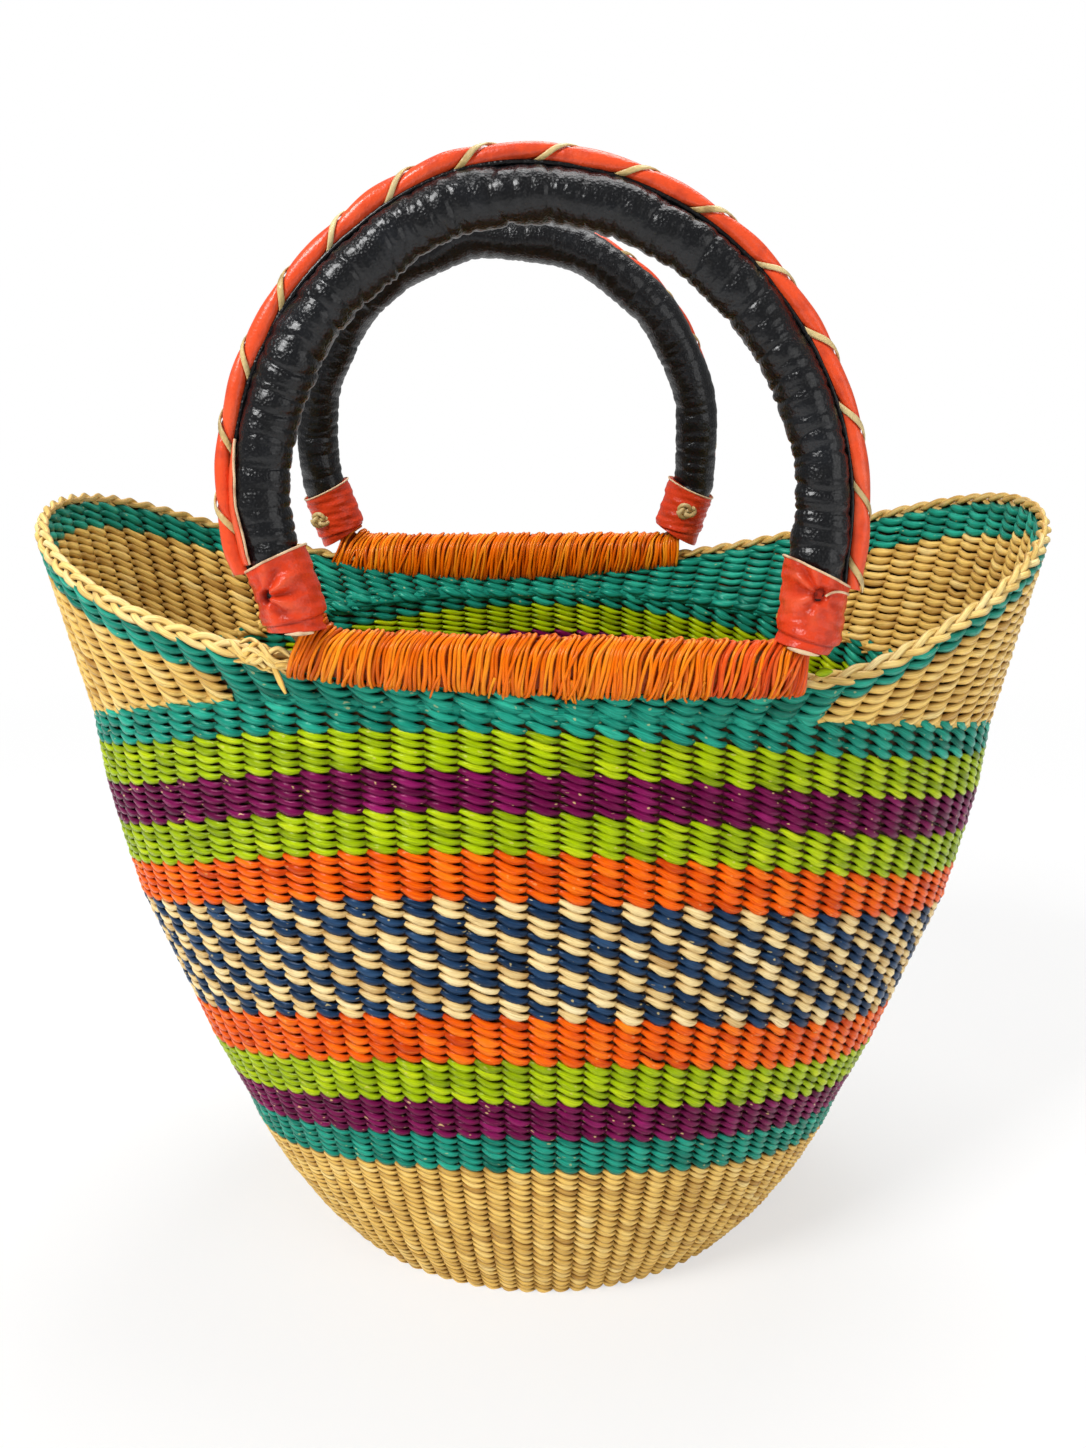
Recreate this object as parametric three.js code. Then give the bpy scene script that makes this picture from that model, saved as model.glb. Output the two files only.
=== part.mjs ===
// Handwoven bolga basket: a twined grass body with raised ends, a bound rim, and two leather-wrapped
// hoop handles that tilt inside the lashings on the long sides.
// Millimetres. +X runs to the right-hand end, -Y is the front, +Z is up and z = 0 is the floor.

import * as THREE from "three";

// Fits
const fit = 0.3; // gap left between pieces that touch
const thongClearance = 0.6; // gap between the thong's corners and the piping
const strandClearance = 0.6; // gap between the lashing and a handle's bar
const borderClearance = 1.2; // the same for the border, which climbs along the lashing

// Woven body: sizes of the outer face
const wallThickness = 6; // measured level
const baseThickness = 6;
const bodyHalfLength = 196.6; // at the top of the level rows, towards an end
const bodyHalfWidth = 127; // at the fullest row, towards the front
const bodyEndHeight = 234; // top of the level rows at the ends
const bodyFrontHeight = 264.5; // top of the level rows at the front and back
const shoulderRise = 6; // the top row stands this much higher between an end and the front
const rowTiltHeight = 2.4; // the handmade rows sink this far towards the right
const rowSagHeight = 8; // and this much more along the front

// Raised rim
const tipFlareLength = 14.4; // the tips reach this far out past the level rows
const rimInsetWidth = 1; // the front and back of the rim stand this far in from the fullest row
const rimFrontRise = 11.5; // middle of the border above the level rows at the front
const rimTipRise = 89; // the same at the tips
const rimBackRise = 7; // the ends stand higher behind than in front
const rimFrontSkewHeight = -8; // how much higher the rim's right shoulder is than it would be
const rimBackSkewHeight = 10;
const gussetHeight = 72; // natural rows at the tips
const borderDiameter = 6; // braided border

// Handles
const archRadius = 94.5; // to the middle of the stick
const handleCornerRadius = 12;
const handleLegLength = 32.3; // straight part above the corner
const coreDiameter = 8; // bent stick inside
const frontGripDiameter = 19; // over the leather
const backGripDiameter = 17;
const leatherThickness = 1.4;
const pipingDiameter = 5;
const thongWidth = 2.2;
const thongThickness = 0.9;
const cuffThickness = 2.4;
const cuffLength = 25; // along its middle
const cuffSlant = 7; // its upper edge stands this much higher on the side of the hand gap
const frontHandleShift = 3.8; // the handles aren't quite in the middle
const backHandleShift = -17.5;
const toggleWidth = 9; // knot of leather that pins each cuff
const toggleHeight = 7;
const toggleThickness = 4;
const strandThickness = 2.2; // of the lashing
const strandSpacing = 1.2; // gap between its turns

// Counts and shares
const ringSteps = 48; // faces round the body, a multiple of four
const borderSides = 8;
const rodSides = 8; // of the stick, its padding and the piping
const gripSides = 10; // of the leather and the cuffs
const knotSides = 8;
const knotRows = 4;
const lashingTurns = 18;
const lashingTurnSteps = 12;
const thongTurns = 13;
const thongTurnSteps = 8;
const cornerSteps = 4;
const legSteps = 2;
const archSteps = 16;
const rimFrontPower = 2.8; // how sharply the rim climbs to its tips
const rimBackPower = 2.4;
const rimLengthPower = 2.8; // of the rim's outline, where an ellipse has 2
const rimWidthPower = 2.1;
const gussetPower = 1.4; // how sharply the gusset rises
const handleLean = THREE.MathUtils.degToRad(6); // towards each other
const legLean = THREE.MathUtils.degToRad(8.4); // of the legs, outwards
const gussetSpread = THREE.MathUtils.degToRad(62); // from a tip to the gusset's point
const cuffStartShare = 0.735; // of the corner, from the bar
const frontLeanShare = -0.075; // sideways lean of the handles as a share of the height
const backLeanShare = -0.01;

// Rows where the colour changes, from the floor up: shares of the body's half length, half width,
// end height and front height
const stationShares = [
  [0.524, 0.748, 0, 0],
  [0.59, 0.819, 0.053, 0.079],
  [0.651, 0.882, 0.124, 0.181],
  [0.699, 0.929, 0.2, 0.283],
  [0.724, 0.945, 0.257, 0.344],
  [0.756, 0.961, 0.313, 0.408],
  [0.794, 0.976, 0.38, 0.477],
  [0.83, 0.992, 0.461, 0.552],
  [0.928, 1, 0.666, 0.735],
  [0.948, 1, 0.735, 0.804],
  [0.968, 1, 0.81, 0.862],
  [0.986, 0.992, 0.884, 0.918],
  [0.995, 0.984, 0.959, 0.972],
  [1, 0.984, 1, 1],
];
const topStation = stationShares.length - 1;

// Section of a lashing strand and of the thong: shares of its width and of its thickness
const strandShares = [
  [0.5, 0],
  [0.36, 0.5],
  [-0.36, 0.5],
  [-0.5, 0],
  [-0.36, -0.5],
  [0.36, -0.5],
];
const thongShares = [
  [0.5, 0.5],
  [-0.5, 0.5],
  [-0.5, -0.5],
  [0.5, -0.5],
];

// Sizes that follow
const rimHalfLength = bodyHalfLength + tipFlareLength; // outer face at the tips
const rimHalfWidth = bodyHalfWidth - rimInsetWidth; // outer face at the front and back
const borderRadius = borderDiameter / 2;
const coreRadius = coreDiameter / 2;
const pipingRadius = pipingDiameter / 2;
const borderInset = wallThickness / 2;
const cornerTurn = Math.PI / 2 - legLean;
const cornerReach = handleCornerRadius * Math.cos(legLean);
const legReach = handleLegLength * Math.sin(legLean);
const barHalfLength = archRadius * Math.cos(legLean) - legReach - cornerReach;
const archHeight =
  handleCornerRadius * (1 - Math.sin(legLean)) +
  handleLegLength * Math.cos(legLean) +
  archRadius * Math.sin(legLean);
const barSide = rimHalfWidth - borderInset; // from the middle of the basket
const strandPitch = (2 * barHalfLength) / (lashingTurns + 1);
const strandWidth = strandPitch - strandSpacing;
const lashedDip = strandThickness + borderClearance + 2 * fit; // room for the strands under the border
const cornerLength = handleCornerRadius * cornerTurn;
const legStart = barHalfLength + cornerLength;
const archStart = legStart + handleLegLength;
const archTurn = Math.PI + 2 * legLean;
const handleLength = 2 * archStart + archTurn * archRadius; // once round, from the bar's middle
const cuffStart = barHalfLength + cuffStartShare * cornerLength;
const cuffEnd = cuffStart + cuffLength;
const wrapStart = legStart; // the leather and its padding start inside the cuff

// Finishes
const straw = { color: 0xd9b878, roughness: 0.8 };
const teal = { color: 0x1e8c73, roughness: 0.6 };
const purple = { color: 0x64144f, roughness: 0.6 };
const lime = { color: 0xa0c30a, roughness: 0.6 };
const orange = { color: 0xf5640a, roughness: 0.6 };
const navy = { color: 0x23415f, roughness: 0.6 };
const blackLeather = { color: 0x191c20, roughness: 0.35 };
const redLeather = { color: 0xd0512f, roughness: 0.5 };
const pipingLeather = { color: 0xeb5a3c, roughness: 0.45 };
const rawhide = { color: 0xc8b478, roughness: 0.8 };
const stick = { color: 0x8a6a3f, roughness: 0.8 };

function piece(name, geometry, finish) {
  const mesh = new THREE.Mesh(geometry, new THREE.MeshStandardMaterial({ ...finish, metalness: 0 }));
  mesh.name = name;
  return mesh;
}

// Turns the faces of a closed skin outwards
function facingOut(geometry) {
  const index = geometry.index.array;
  const position = geometry.attributes.position;
  const a = new THREE.Vector3();
  const b = new THREE.Vector3();
  const c = new THREE.Vector3();
  let volume = 0;
  for (let i = 0; i < index.length; i += 3) {
    a.fromBufferAttribute(position, index[i]);
    b.fromBufferAttribute(position, index[i + 1]);
    c.fromBufferAttribute(position, index[i + 2]);
    volume += a.dot(b.cross(c));
  }
  if (volume < 0) {
    for (let i = 0; i < index.length; i += 3) {
      const swapped = index[i];
      index[i] = index[i + 1];
      index[i + 1] = swapped;
    }
  }
  geometry.computeVertexNormals();
  return geometry;
}

// Joins open rows of ring points into one skin and closes its two ends
function skin(rings) {
  const sides = rings[0].length;
  const points = rings.flat();
  const faces = [];
  for (let i = 0; i + 1 < rings.length; i++) {
    for (let j = 0; j < sides; j++) {
      const a = i * sides + j;
      const b = i * sides + ((j + 1) % sides);
      faces.push(a, b, b + sides, a, b + sides, a + sides);
    }
  }
  const last = (rings.length - 1) * sides;
  for (let j = 1; j + 1 < sides; j++) {
    faces.push(0, j + 1, j);
    faces.push(last, last + j, last + j + 1);
  }
  const geometry = new THREE.BufferGeometry().setFromPoints(points);
  geometry.setIndex(faces);
  return facingOut(geometry);
}

// Body surface

function stationAt(level) {
  const below = Math.min(Math.floor(level), topStation - 1);
  return stationShares[below].map((share, i) =>
    THREE.MathUtils.lerp(share, stationShares[below + 1][i], level - below),
  );
}

// How far the rows sink at a place: the right-hand end is lower, and the front sags towards it
function sagAt(angle, heightShare) {
  const cos = Math.cos(angle);
  const front = (1 - Math.sin(angle)) / 2;
  return heightShare * front * cos * (rowTiltHeight + rowSagHeight * Math.sin(angle) ** 2);
}

function wallPoint(level, angle, inset, lift) {
  const [lengthShare, widthShare, endShare, frontShare] = stationAt(level);
  const cos = Math.cos(angle);
  const sin = Math.sin(angle);
  const rise = bodyEndHeight * endShare * cos ** 2 + bodyFrontHeight * frontShare * sin ** 2;
  return new THREE.Vector3(
    (bodyHalfLength * lengthShare - inset) * cos,
    (bodyHalfWidth * widthShare - inset) * sin,
    rise + shoulderAt(angle, level) - sagAt(angle, frontShare) + lift,
  );
}

// The top row stands higher between an end and the front
function shoulderAt(angle, level) {
  const share = THREE.MathUtils.clamp(level - topStation + 1, 0, 1);
  return shoulderRise * share * Math.sin(2 * angle) ** 2;
}

function levelAtHeight(height, angle) {
  return height / wallPoint(1, angle, 0, 0).z;
}

function levelTop(angle) {
  return wallPoint(topStation, angle, 0, 0).z;
}

// Height of the middle of the border
function rimHeight(angle) {
  const cos = Math.cos(angle);
  const sin = Math.sin(angle);
  const back = (1 + sin) / 2;
  const power = THREE.MathUtils.lerp(rimFrontPower, rimBackPower, back);
  const skew = THREE.MathUtils.lerp(rimFrontSkewHeight, rimBackSkewHeight, back) * cos * sin ** 2;
  const tipClimb = bodyEndHeight + rimTipRise - bodyFrontHeight - rimFrontRise;
  const climb = (tipClimb + rimBackRise * sin) * Math.abs(cos) ** power;
  return bodyFrontHeight + rimFrontRise + climb + skew;
}

// A point of the upper wall, between the level rows and the border
function collarPoint(height, angle, inset) {
  const low = levelTop(angle);
  const share = (height - low) / (rimHeight(angle) - low);
  const topHalfWidth = bodyHalfWidth * stationShares[topStation][1];
  const halfLength = THREE.MathUtils.lerp(bodyHalfLength, rimHalfLength, share) - inset;
  const halfWidth = THREE.MathUtils.lerp(topHalfWidth, rimHalfWidth, share) - inset;
  const lengthPower = THREE.MathUtils.lerp(2, rimLengthPower, share);
  const widthPower = THREE.MathUtils.lerp(2, rimWidthPower, share);
  const cos = Math.cos(angle);
  const side = Math.sign(Math.sin(angle));
  const across = Math.max(0, 1 - Math.abs(cos) ** lengthPower) ** (1 / widthPower);
  return new THREE.Vector3(halfLength * cos, side * halfWidth * across, height);
}

function ringAngle(step) {
  return ((step % ringSteps) * 2 * Math.PI) / ringSteps;
}

// A ring round the body: a lathe of the given corners, whose points are then put in their places
function bodyRing(corners, place) {
  const profile = corners.map(() => new THREE.Vector2(1, 1));
  const geometry = new THREE.LatheGeometry(profile, ringSteps);
  for (let i = 0; i <= ringSteps; i++) {
    corners.forEach((corner, j) => {
      const at = place(corner, i % ringSteps);
      geometry.attributes.position.setXYZ(i * corners.length + j, at.x, at.y, at.z);
    });
  }
  return facingOut(geometry);
}

// Base: a flat disc under the foot of the wall
function baseGeometry() {
  const corners = [
    { share: 0, height: 0 },
    { share: 1, height: 0 },
    { share: 1, height: baseThickness },
    { share: 0, height: baseThickness },
  ];
  return bodyRing(corners, ({ share, height }, step) => {
    const angle = ringAngle(step);
    const edge = wallPoint(levelAtHeight(height, angle), angle, 0, 0);
    return new THREE.Vector3(edge.x * share, edge.y * share, height);
  });
}

// One band of rows between two stations
function bandGeometry(from, to) {
  const levels = [];
  for (let level = from; level <= to; level++) levels.push(level);
  const outer = levels.map((level) => ({ level, inset: 0 }));
  const inner = levels.map((level) => ({ level, inset: wallThickness })).reverse();
  const corners = [...outer, ...inner, outer[0]];
  return bodyRing(corners, ({ level, inset }, step) => {
    const angle = ringAngle(step);
    if (level === 0) return wallPoint(levelAtHeight(baseThickness + fit, angle), angle, inset, 0);
    const lift = level === to ? -fit / 2 : level === from ? fit / 2 : 0;
    return wallPoint(level, angle, inset, lift);
  });
}

// End gusset of natural rows, between the level rows and the rim band
function gussetHeightAt(angle) {
  const point = Math.cos(gussetSpread);
  const share = (Math.abs(Math.cos(angle)) - point) / (1 - point);
  return share > 0 ? gussetHeight * share ** gussetPower : 0;
}

function gussetBottomAt(angle) {
  return levelTop(angle) + fit / 2;
}

function gussetGeometry(tipStep) {
  const reach = Math.floor((gussetSpread * ringSteps) / (2 * Math.PI));
  const rings = [];
  for (let step = tipStep - reach; step <= tipStep + reach; step++) {
    const angle = ringAngle((step + ringSteps) % ringSteps);
    const bottom = gussetBottomAt(angle);
    const top = bottom + gussetHeightAt(angle);
    rings.push([
      collarPoint(bottom, angle, 0),
      collarPoint(top, angle, 0),
      collarPoint(top, angle, wallThickness),
      collarPoint(bottom, angle, wallThickness),
    ]);
  }
  return skin(rings);
}

// Rim band: it dips under the lashings, which pass between it and the border
function dipAt(angle) {
  const shift = Math.sin(angle) < 0 ? frontHandleShift : backHandleShift;
  const away = Math.abs(collarPoint(rimHeight(angle), angle, borderInset).x - shift);
  const near = barHalfLength + strandWidth;
  const share = 1 - (away - near) / (2 * handleCornerRadius);
  return lashedDip * THREE.MathUtils.clamp(share, 0, 1);
}

function rimBandGeometry() {
  const corners = [
    { top: false, inset: 0 },
    { top: true, inset: 0 },
    { top: true, inset: wallThickness },
    { top: false, inset: wallThickness },
    { top: false, inset: 0 },
  ];
  return bodyRing(corners, ({ top, inset }, step) => {
    const angle = ringAngle(step);
    const low = gussetBottomAt(angle) + gussetHeightAt(angle) + fit;
    const high = rimHeight(angle) - borderRadius - 2 * fit - dipAt(angle);
    return collarPoint(top ? high : low, angle, inset);
  });
}

function borderMiddle(step) {
  const angle = ringAngle(step);
  return collarPoint(rimHeight(angle), angle, borderInset);
}

function borderGeometry() {
  const turns = [];
  for (let i = 0; i <= borderSides; i++) turns.push(((i % borderSides) * 2 * Math.PI) / borderSides);
  return bodyRing(turns, (turn, step) => {
    const middle = borderMiddle(step);
    const out = new THREE.Vector3(middle.x, middle.y, 0).normalize();
    middle.addScaledVector(out, borderRadius * Math.cos(turn));
    middle.z += borderRadius * Math.sin(turn);
    return middle;
  });
}

// The middle of the border at a place along the front (side -1) or the back (side 1)
function borderAt(x, side) {
  const start = side < 0 ? ringSteps / 2 : 0;
  for (let step = start; step < start + ringSteps / 2; step++) {
    const a = borderMiddle(step);
    const b = borderMiddle(step + 1);
    const share = (x - a.x) / (b.x - a.x);
    if (share >= 0 && share <= 1) return a.lerp(b, share);
  }
  throw new Error("the lashing is longer than the rim");
}

// A handle's bar rests on the border at both of its ends
function barRest(shift, side) {
  const left = borderAt(shift - barHalfLength, side).z;
  const right = borderAt(shift + barHalfLength, side).z;
  return {
    slope: Math.atan2(left - right, 2 * barHalfLength),
    height: (left + right) / 2 + borderRadius + coreRadius + strandClearance,
  };
}

// Wound strands

// A strand's skin from its path, each entry of which has a point and the direction of its upper face
function strandRings(path, sectionShares, width, thickness) {
  return path.map(({ point, up }, i) => {
    const before = path[Math.max(i - 1, 0)].point;
    const after = path[Math.min(i + 1, path.length - 1)].point;
    const along = after.clone().sub(before).normalize();
    const across = along.clone().cross(up).normalize();
    return sectionShares.map(([widthShare, thicknessShare]) =>
      point
        .clone()
        .addScaledVector(across, widthShare * width)
        .addScaledVector(up, thicknessShare * thickness),
    );
  });
}

// Prints the least gap between points of neighbouring turns
function reportGap(name, rings, turnSteps) {
  let least = Infinity;
  rings.forEach((ring, i) => {
    for (let j = i + turnSteps / 2; j < rings.length; j++) {
      for (const a of ring) for (const b of rings[j]) least = Math.min(least, a.distanceTo(b));
    }
  });
  console.log(`${name}: least gap to itself ${least.toFixed(2)} mm`);
}

// Lashing round the bar and the border
function lashingGeometry(name, shift, side) {
  const { slope, height } = barRest(shift, side);
  const barReach = coreRadius + strandClearance + strandThickness / 2;
  const borderReach = borderRadius + borderClearance + strandThickness / 2;
  const steps = lashingTurns * lashingTurnSteps;
  const path = [];
  for (let i = 0; i <= steps; i++) {
    const x = shift - (lashingTurns * strandPitch) / 2 + (i * strandPitch) / lashingTurnSteps;
    const turn = (i * 2 * Math.PI) / lashingTurnSteps;
    const up = new THREE.Vector3(0, side * Math.cos(turn), Math.sin(turn));
    const bar = new THREE.Vector3(x, side * barSide, height - (x - shift) * Math.tan(slope));
    const border = borderAt(x, side);
    bar.addScaledVector(up, barReach);
    border.addScaledVector(up, borderReach);
    path.push({ point: bar.dot(up) > border.dot(up) ? bar : border, up });
  }
  // Both ends run straight down the outside of the wall
  const tail = new THREE.Vector3(0, 0, -strandWidth);
  const first = path[0];
  const last = path[path.length - 1];
  path.unshift({ point: first.point.clone().add(tail), up: first.up });
  path.push({ point: last.point.clone().add(tail), up: last.up });
  const rings = strandRings(path, strandShares, strandWidth, strandThickness);
  reportGap(name, rings, lashingTurnSteps);
  return skin(rings);
}

// Handle line: up one leg, over the arch and down the other, measured from the middle of the bar

// The side view of the line, with the direction that points out of the hoop
function hoopSide(distance) {
  const turned = distance > handleLength / 2;
  const along = turned ? handleLength - distance : distance;
  const at = new THREE.Vector2();
  const out = new THREE.Vector2(0, -1);
  if (along <= barHalfLength) {
    at.set(along, 0);
  } else if (along < legStart) {
    const angle = (along - barHalfLength) / handleCornerRadius;
    out.set(Math.sin(angle), -Math.cos(angle));
    at.set(barHalfLength, handleCornerRadius).addScaledVector(out, handleCornerRadius);
  } else if (along < archStart) {
    const climb = along - legStart;
    out.set(Math.cos(legLean), -Math.sin(legLean));
    at.set(barHalfLength, handleCornerRadius).addScaledVector(out, handleCornerRadius);
    at.x += climb * Math.sin(legLean);
    at.y += climb * Math.cos(legLean);
  } else {
    const angle = (along - archStart) / archRadius - legLean;
    out.set(Math.cos(angle), Math.sin(angle));
    at.set(0, archHeight).addScaledVector(out, archRadius);
  }
  if (turned) {
    at.x = -at.x;
    out.x = -out.x;
  }
  return { at, out };
}

// Places where every piece of a handle has a ring, so that nested pieces share their facets
function hoopStops() {
  const half = [0, barHalfLength];
  for (let i = 1; i <= cornerSteps; i++) half.push(barHalfLength + (cornerLength * i) / cornerSteps);
  for (let i = 1; i <= legSteps; i++) half.push(legStart + (handleLegLength * i) / legSteps);
  const arch = [];
  for (let i = 1; i < archSteps; i++) {
    arch.push(archStart + (archTurn * archRadius * i) / archSteps);
  }
  const mirrored = half.map((stop) => handleLength - stop).reverse();
  return [...half, ...arch, ...mirrored];
}

function stopsBetween(from, to) {
  return [from, ...hoopStops().filter((stop) => stop > from + fit && stop < to - fit), to];
}

// A curve through chosen stops, whose steps fall on those stops
class HoopLine extends THREE.Curve {
  constructor(stops, outward, leanShare) {
    super();
    this.points = stops.map((stop) => {
      const { at, out } = hoopSide(stop);
      at.addScaledVector(out, outward);
      return new THREE.Vector3(at.x + leanShare * at.y, 0, at.y);
    });
  }

  getUtoTmapping(share) {
    return share;
  }

  getPoint(share, target = new THREE.Vector3()) {
    const place = share * (this.points.length - 1);
    const below = Math.min(Math.floor(place), this.points.length - 2);
    return target.lerpVectors(this.points[below], this.points[below + 1], place - below);
  }
}

function circle(radius, sides) {
  const points = [];
  for (let i = 0; i < sides; i++) {
    const turn = (i * 2 * Math.PI) / sides;
    points.push(new THREE.Vector2(radius * Math.cos(turn), radius * Math.sin(turn)));
  }
  return points;
}

// A round rod or sleeve along the handle line
function tubeGeometry(from, to, outward, leanShare, outer, bore) {
  const section = new THREE.Shape(circle(outer.radius, outer.sides));
  if (bore) section.holes.push(new THREE.Path(circle(bore.radius, bore.sides)));
  const stops = stopsBetween(from, to);
  return new THREE.ExtrudeGeometry(section, {
    steps: stops.length - 1,
    extrudePath: new HoopLine(stops, outward, leanShare),
    bevelEnabled: false,
  });
}

// Raises the upper edge of a cuff on the side of the hand gap
function slantTop(geometry, hand, leanShare) {
  const low = hoopSide(cuffStart).at;
  const high = hoopSide(cuffEnd).at;
  const reach = high.y - low.y;
  const position = geometry.attributes.position;
  for (let i = 0; i < position.count; i++) {
    const climb = (position.getZ(i) - low.y) / reach;
    const middle = hand * THREE.MathUtils.lerp(low.x, high.x, climb) + leanShare * position.getZ(i);
    const inward = (hand * (middle - position.getX(i))) / handleCornerRadius;
    const rise = (cuffSlant / 2) * inward * THREE.MathUtils.clamp(climb, 0, 1);
    position.setZ(i, position.getZ(i) + rise);
  }
}

// Lacing thong: turns round the piping, then runs straight into the cuffs
function thongGeometry(name, pipingOut, leanShare, from, to) {
  const line = new HoopLine(stopsBetween(from, to), pipingOut, leanShare);
  const reach = pipingRadius + thongClearance + thongThickness / 2;
  const steps = thongTurns * thongTurnSteps;
  const path = [];
  for (let i = 0; i <= steps; i++) {
    const share = THREE.MathUtils.lerp(thongWidth, to - from - thongWidth, i / steps) / (to - from);
    const turn = (i * 2 * Math.PI) / thongTurnSteps;
    const point = hoopSpot(line, share, from, to);
    const out = hoopSide(THREE.MathUtils.lerp(from, to, share)).out;
    const up = new THREE.Vector3(out.x, 0, out.y).multiplyScalar(Math.cos(turn));
    up.y = -Math.sin(turn);
    path.push({ point: point.addScaledVector(up, reach), up });
  }
  const down = new THREE.Vector3(0, 0, -thongWidth);
  const first = path[0];
  const last = path[path.length - 1];
  path.unshift({ point: first.point.clone().add(down), up: first.up });
  path.push({ point: last.point.clone().add(down), up: last.up });
  const rings = strandRings(path, thongShares, thongWidth, thongThickness);
  reportGap(name, rings, thongTurnSteps);
  return skin(rings);
}

// A point of a handle line at a share of its real length
function hoopSpot(line, share, from, to) {
  const stops = stopsBetween(from, to);
  const distance = THREE.MathUtils.lerp(from, to, share);
  let below = 0;
  while (below < stops.length - 2 && stops[below + 1] < distance) below++;
  const part = (distance - stops[below]) / (stops[below + 1] - stops[below]);
  return line.getPoint((below + part) / (stops.length - 1));
}

// One handle, with its pieces in a group that stands on the middle of its bar
function handle({ side, shift, leanShare, gripDiameter, label }) {
  const gripRadius = gripDiameter / 2;
  const paddingRadius = gripRadius - leatherThickness - fit;
  const pipingOut = gripRadius + fit + thongThickness + thongClearance + pipingRadius;
  const cuffBore = gripRadius + fit;
  const trimStart = cuffEnd - fit;
  const group = new THREE.Group();
  const tube = (name, from, to, outward, outer, bore, finish) => {
    const geometry = tubeGeometry(from, to, outward, leanShare, outer, bore);
    group.add(piece(`${label}_${name}`, geometry, finish));
  };
  const wrapEnd = handleLength - wrapStart;
  const trimEnd = handleLength - trimStart;
  const core = { radius: coreRadius, sides: rodSides };
  const coreBore = { radius: coreRadius + fit, sides: rodSides };
  const padding = { radius: paddingRadius, sides: rodSides };
  const paddingBore = { radius: paddingRadius + fit, sides: rodSides };
  const piping = { radius: pipingRadius, sides: rodSides };
  const grip = { radius: gripRadius, sides: gripSides };
  const bore = { radius: cuffBore, sides: gripSides };
  const cuff = { radius: cuffBore + cuffThickness, sides: gripSides };
  tube("core_hoop", fit, handleLength - fit, 0, core, null, stick);
  tube("grass_padding", wrapStart, wrapEnd, 0, padding, coreBore, straw);
  tube("leather_wrap", wrapStart, wrapEnd, 0, grip, paddingBore, blackLeather);
  tube("red_piping", trimStart, trimEnd, pipingOut, piping, null, pipingLeather);
  for (const [name, hand] of [["right", 1], ["left", -1]]) {
    const from = hand > 0 ? cuffStart : handleLength - cuffEnd;
    const wrap = tubeGeometry(from, from + cuffLength, 0, leanShare, cuff, bore);
    slantTop(wrap, hand, leanShare);
    group.add(piece(`${label}_${name}_cuff`, wrap, redLeather));
    const knot = new THREE.SphereGeometry(1, knotSides, knotRows);
    knot.scale(toggleWidth / 2, toggleThickness / 2, toggleHeight / 2);
    const mesh = piece(`${label}_${name}_toggle_knot`, knot, rawhide);
    const middle = hoopSide((cuffStart + cuffEnd) / 2).at;
    const out = cuffBore + cuffThickness + fit + toggleThickness / 2;
    mesh.position.set(hand * middle.x + leanShare * middle.y, -side * out, middle.y);
    group.add(mesh);
  }
  const thong = thongGeometry(`${label}_lacing_thong`, pipingOut, leanShare, trimStart, trimEnd);
  group.add(piece(`${label}_lacing_thong`, thong, rawhide));
  const { slope, height } = barRest(shift, side);
  group.position.set(shift, side * barSide, height);
  group.rotation.set(side * handleLean, slope, 0, "YXZ");
  console.log(`${label} bar: height ${height.toFixed(2)} mm, slope ${slope.toFixed(4)} rad`);
  return group;
}

const bands = [
  ["lower_natural_wall", 0, 3, straw],
  ["lower_teal_band", 3, 4, teal],
  ["lower_purple_band", 4, 5, purple],
  ["lower_green_band", 5, 6, lime],
  ["lower_orange_band", 6, 7, orange],
  ["checker_band", 7, 8, navy],
  ["upper_orange_band", 8, 9, orange],
  ["middle_green_band", 9, 10, lime],
  ["upper_purple_band", 10, 11, purple],
  ["upper_green_band", 11, 12, lime],
  ["upper_teal_band", 12, 13, teal],
];

const basket = new THREE.Group();
basket.add(piece("woven_base", baseGeometry(), straw));
for (const [name, from, to, finish] of bands) {
  basket.add(piece(name, bandGeometry(from, to), finish));
}
basket.add(piece("right_end_gusset", gussetGeometry(ringSteps), straw));
basket.add(piece("left_end_gusset", gussetGeometry(ringSteps / 2), straw));
basket.add(piece("teal_rim_band", rimBandGeometry(), teal));
basket.add(piece("braided_rim_border", borderGeometry(), straw));

const handles = [
  {
    label: "front",
    side: -1,
    shift: frontHandleShift,
    leanShare: frontLeanShare,
    gripDiameter: frontGripDiameter,
  },
  {
    label: "back",
    side: 1,
    shift: backHandleShift,
    leanShare: backLeanShare,
    gripDiameter: backGripDiameter,
  },
];
for (const spec of handles) {
  const name = `${spec.label}_lashing`;
  basket.add(piece(name, lashingGeometry(name, spec.shift, spec.side), orange));
  basket.add(handle(spec));
}

export default basket;
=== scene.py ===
import math
import bpy
import numpy as np
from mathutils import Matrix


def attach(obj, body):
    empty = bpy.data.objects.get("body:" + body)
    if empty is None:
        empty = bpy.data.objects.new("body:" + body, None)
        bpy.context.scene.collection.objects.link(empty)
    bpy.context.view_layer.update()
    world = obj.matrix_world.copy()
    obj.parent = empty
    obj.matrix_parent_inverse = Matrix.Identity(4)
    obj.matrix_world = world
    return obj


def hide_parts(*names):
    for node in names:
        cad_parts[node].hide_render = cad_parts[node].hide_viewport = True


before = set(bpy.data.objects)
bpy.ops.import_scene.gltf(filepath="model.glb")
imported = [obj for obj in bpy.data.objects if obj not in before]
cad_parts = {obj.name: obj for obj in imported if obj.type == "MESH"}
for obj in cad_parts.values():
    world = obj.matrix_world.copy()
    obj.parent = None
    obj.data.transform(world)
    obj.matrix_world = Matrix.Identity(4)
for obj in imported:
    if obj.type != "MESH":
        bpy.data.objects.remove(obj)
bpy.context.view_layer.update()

# Metres. +X is the right-hand end, -Y the front, +Z up, and z = 0 the floor.
dice = np.random.default_rng(71)

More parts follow.
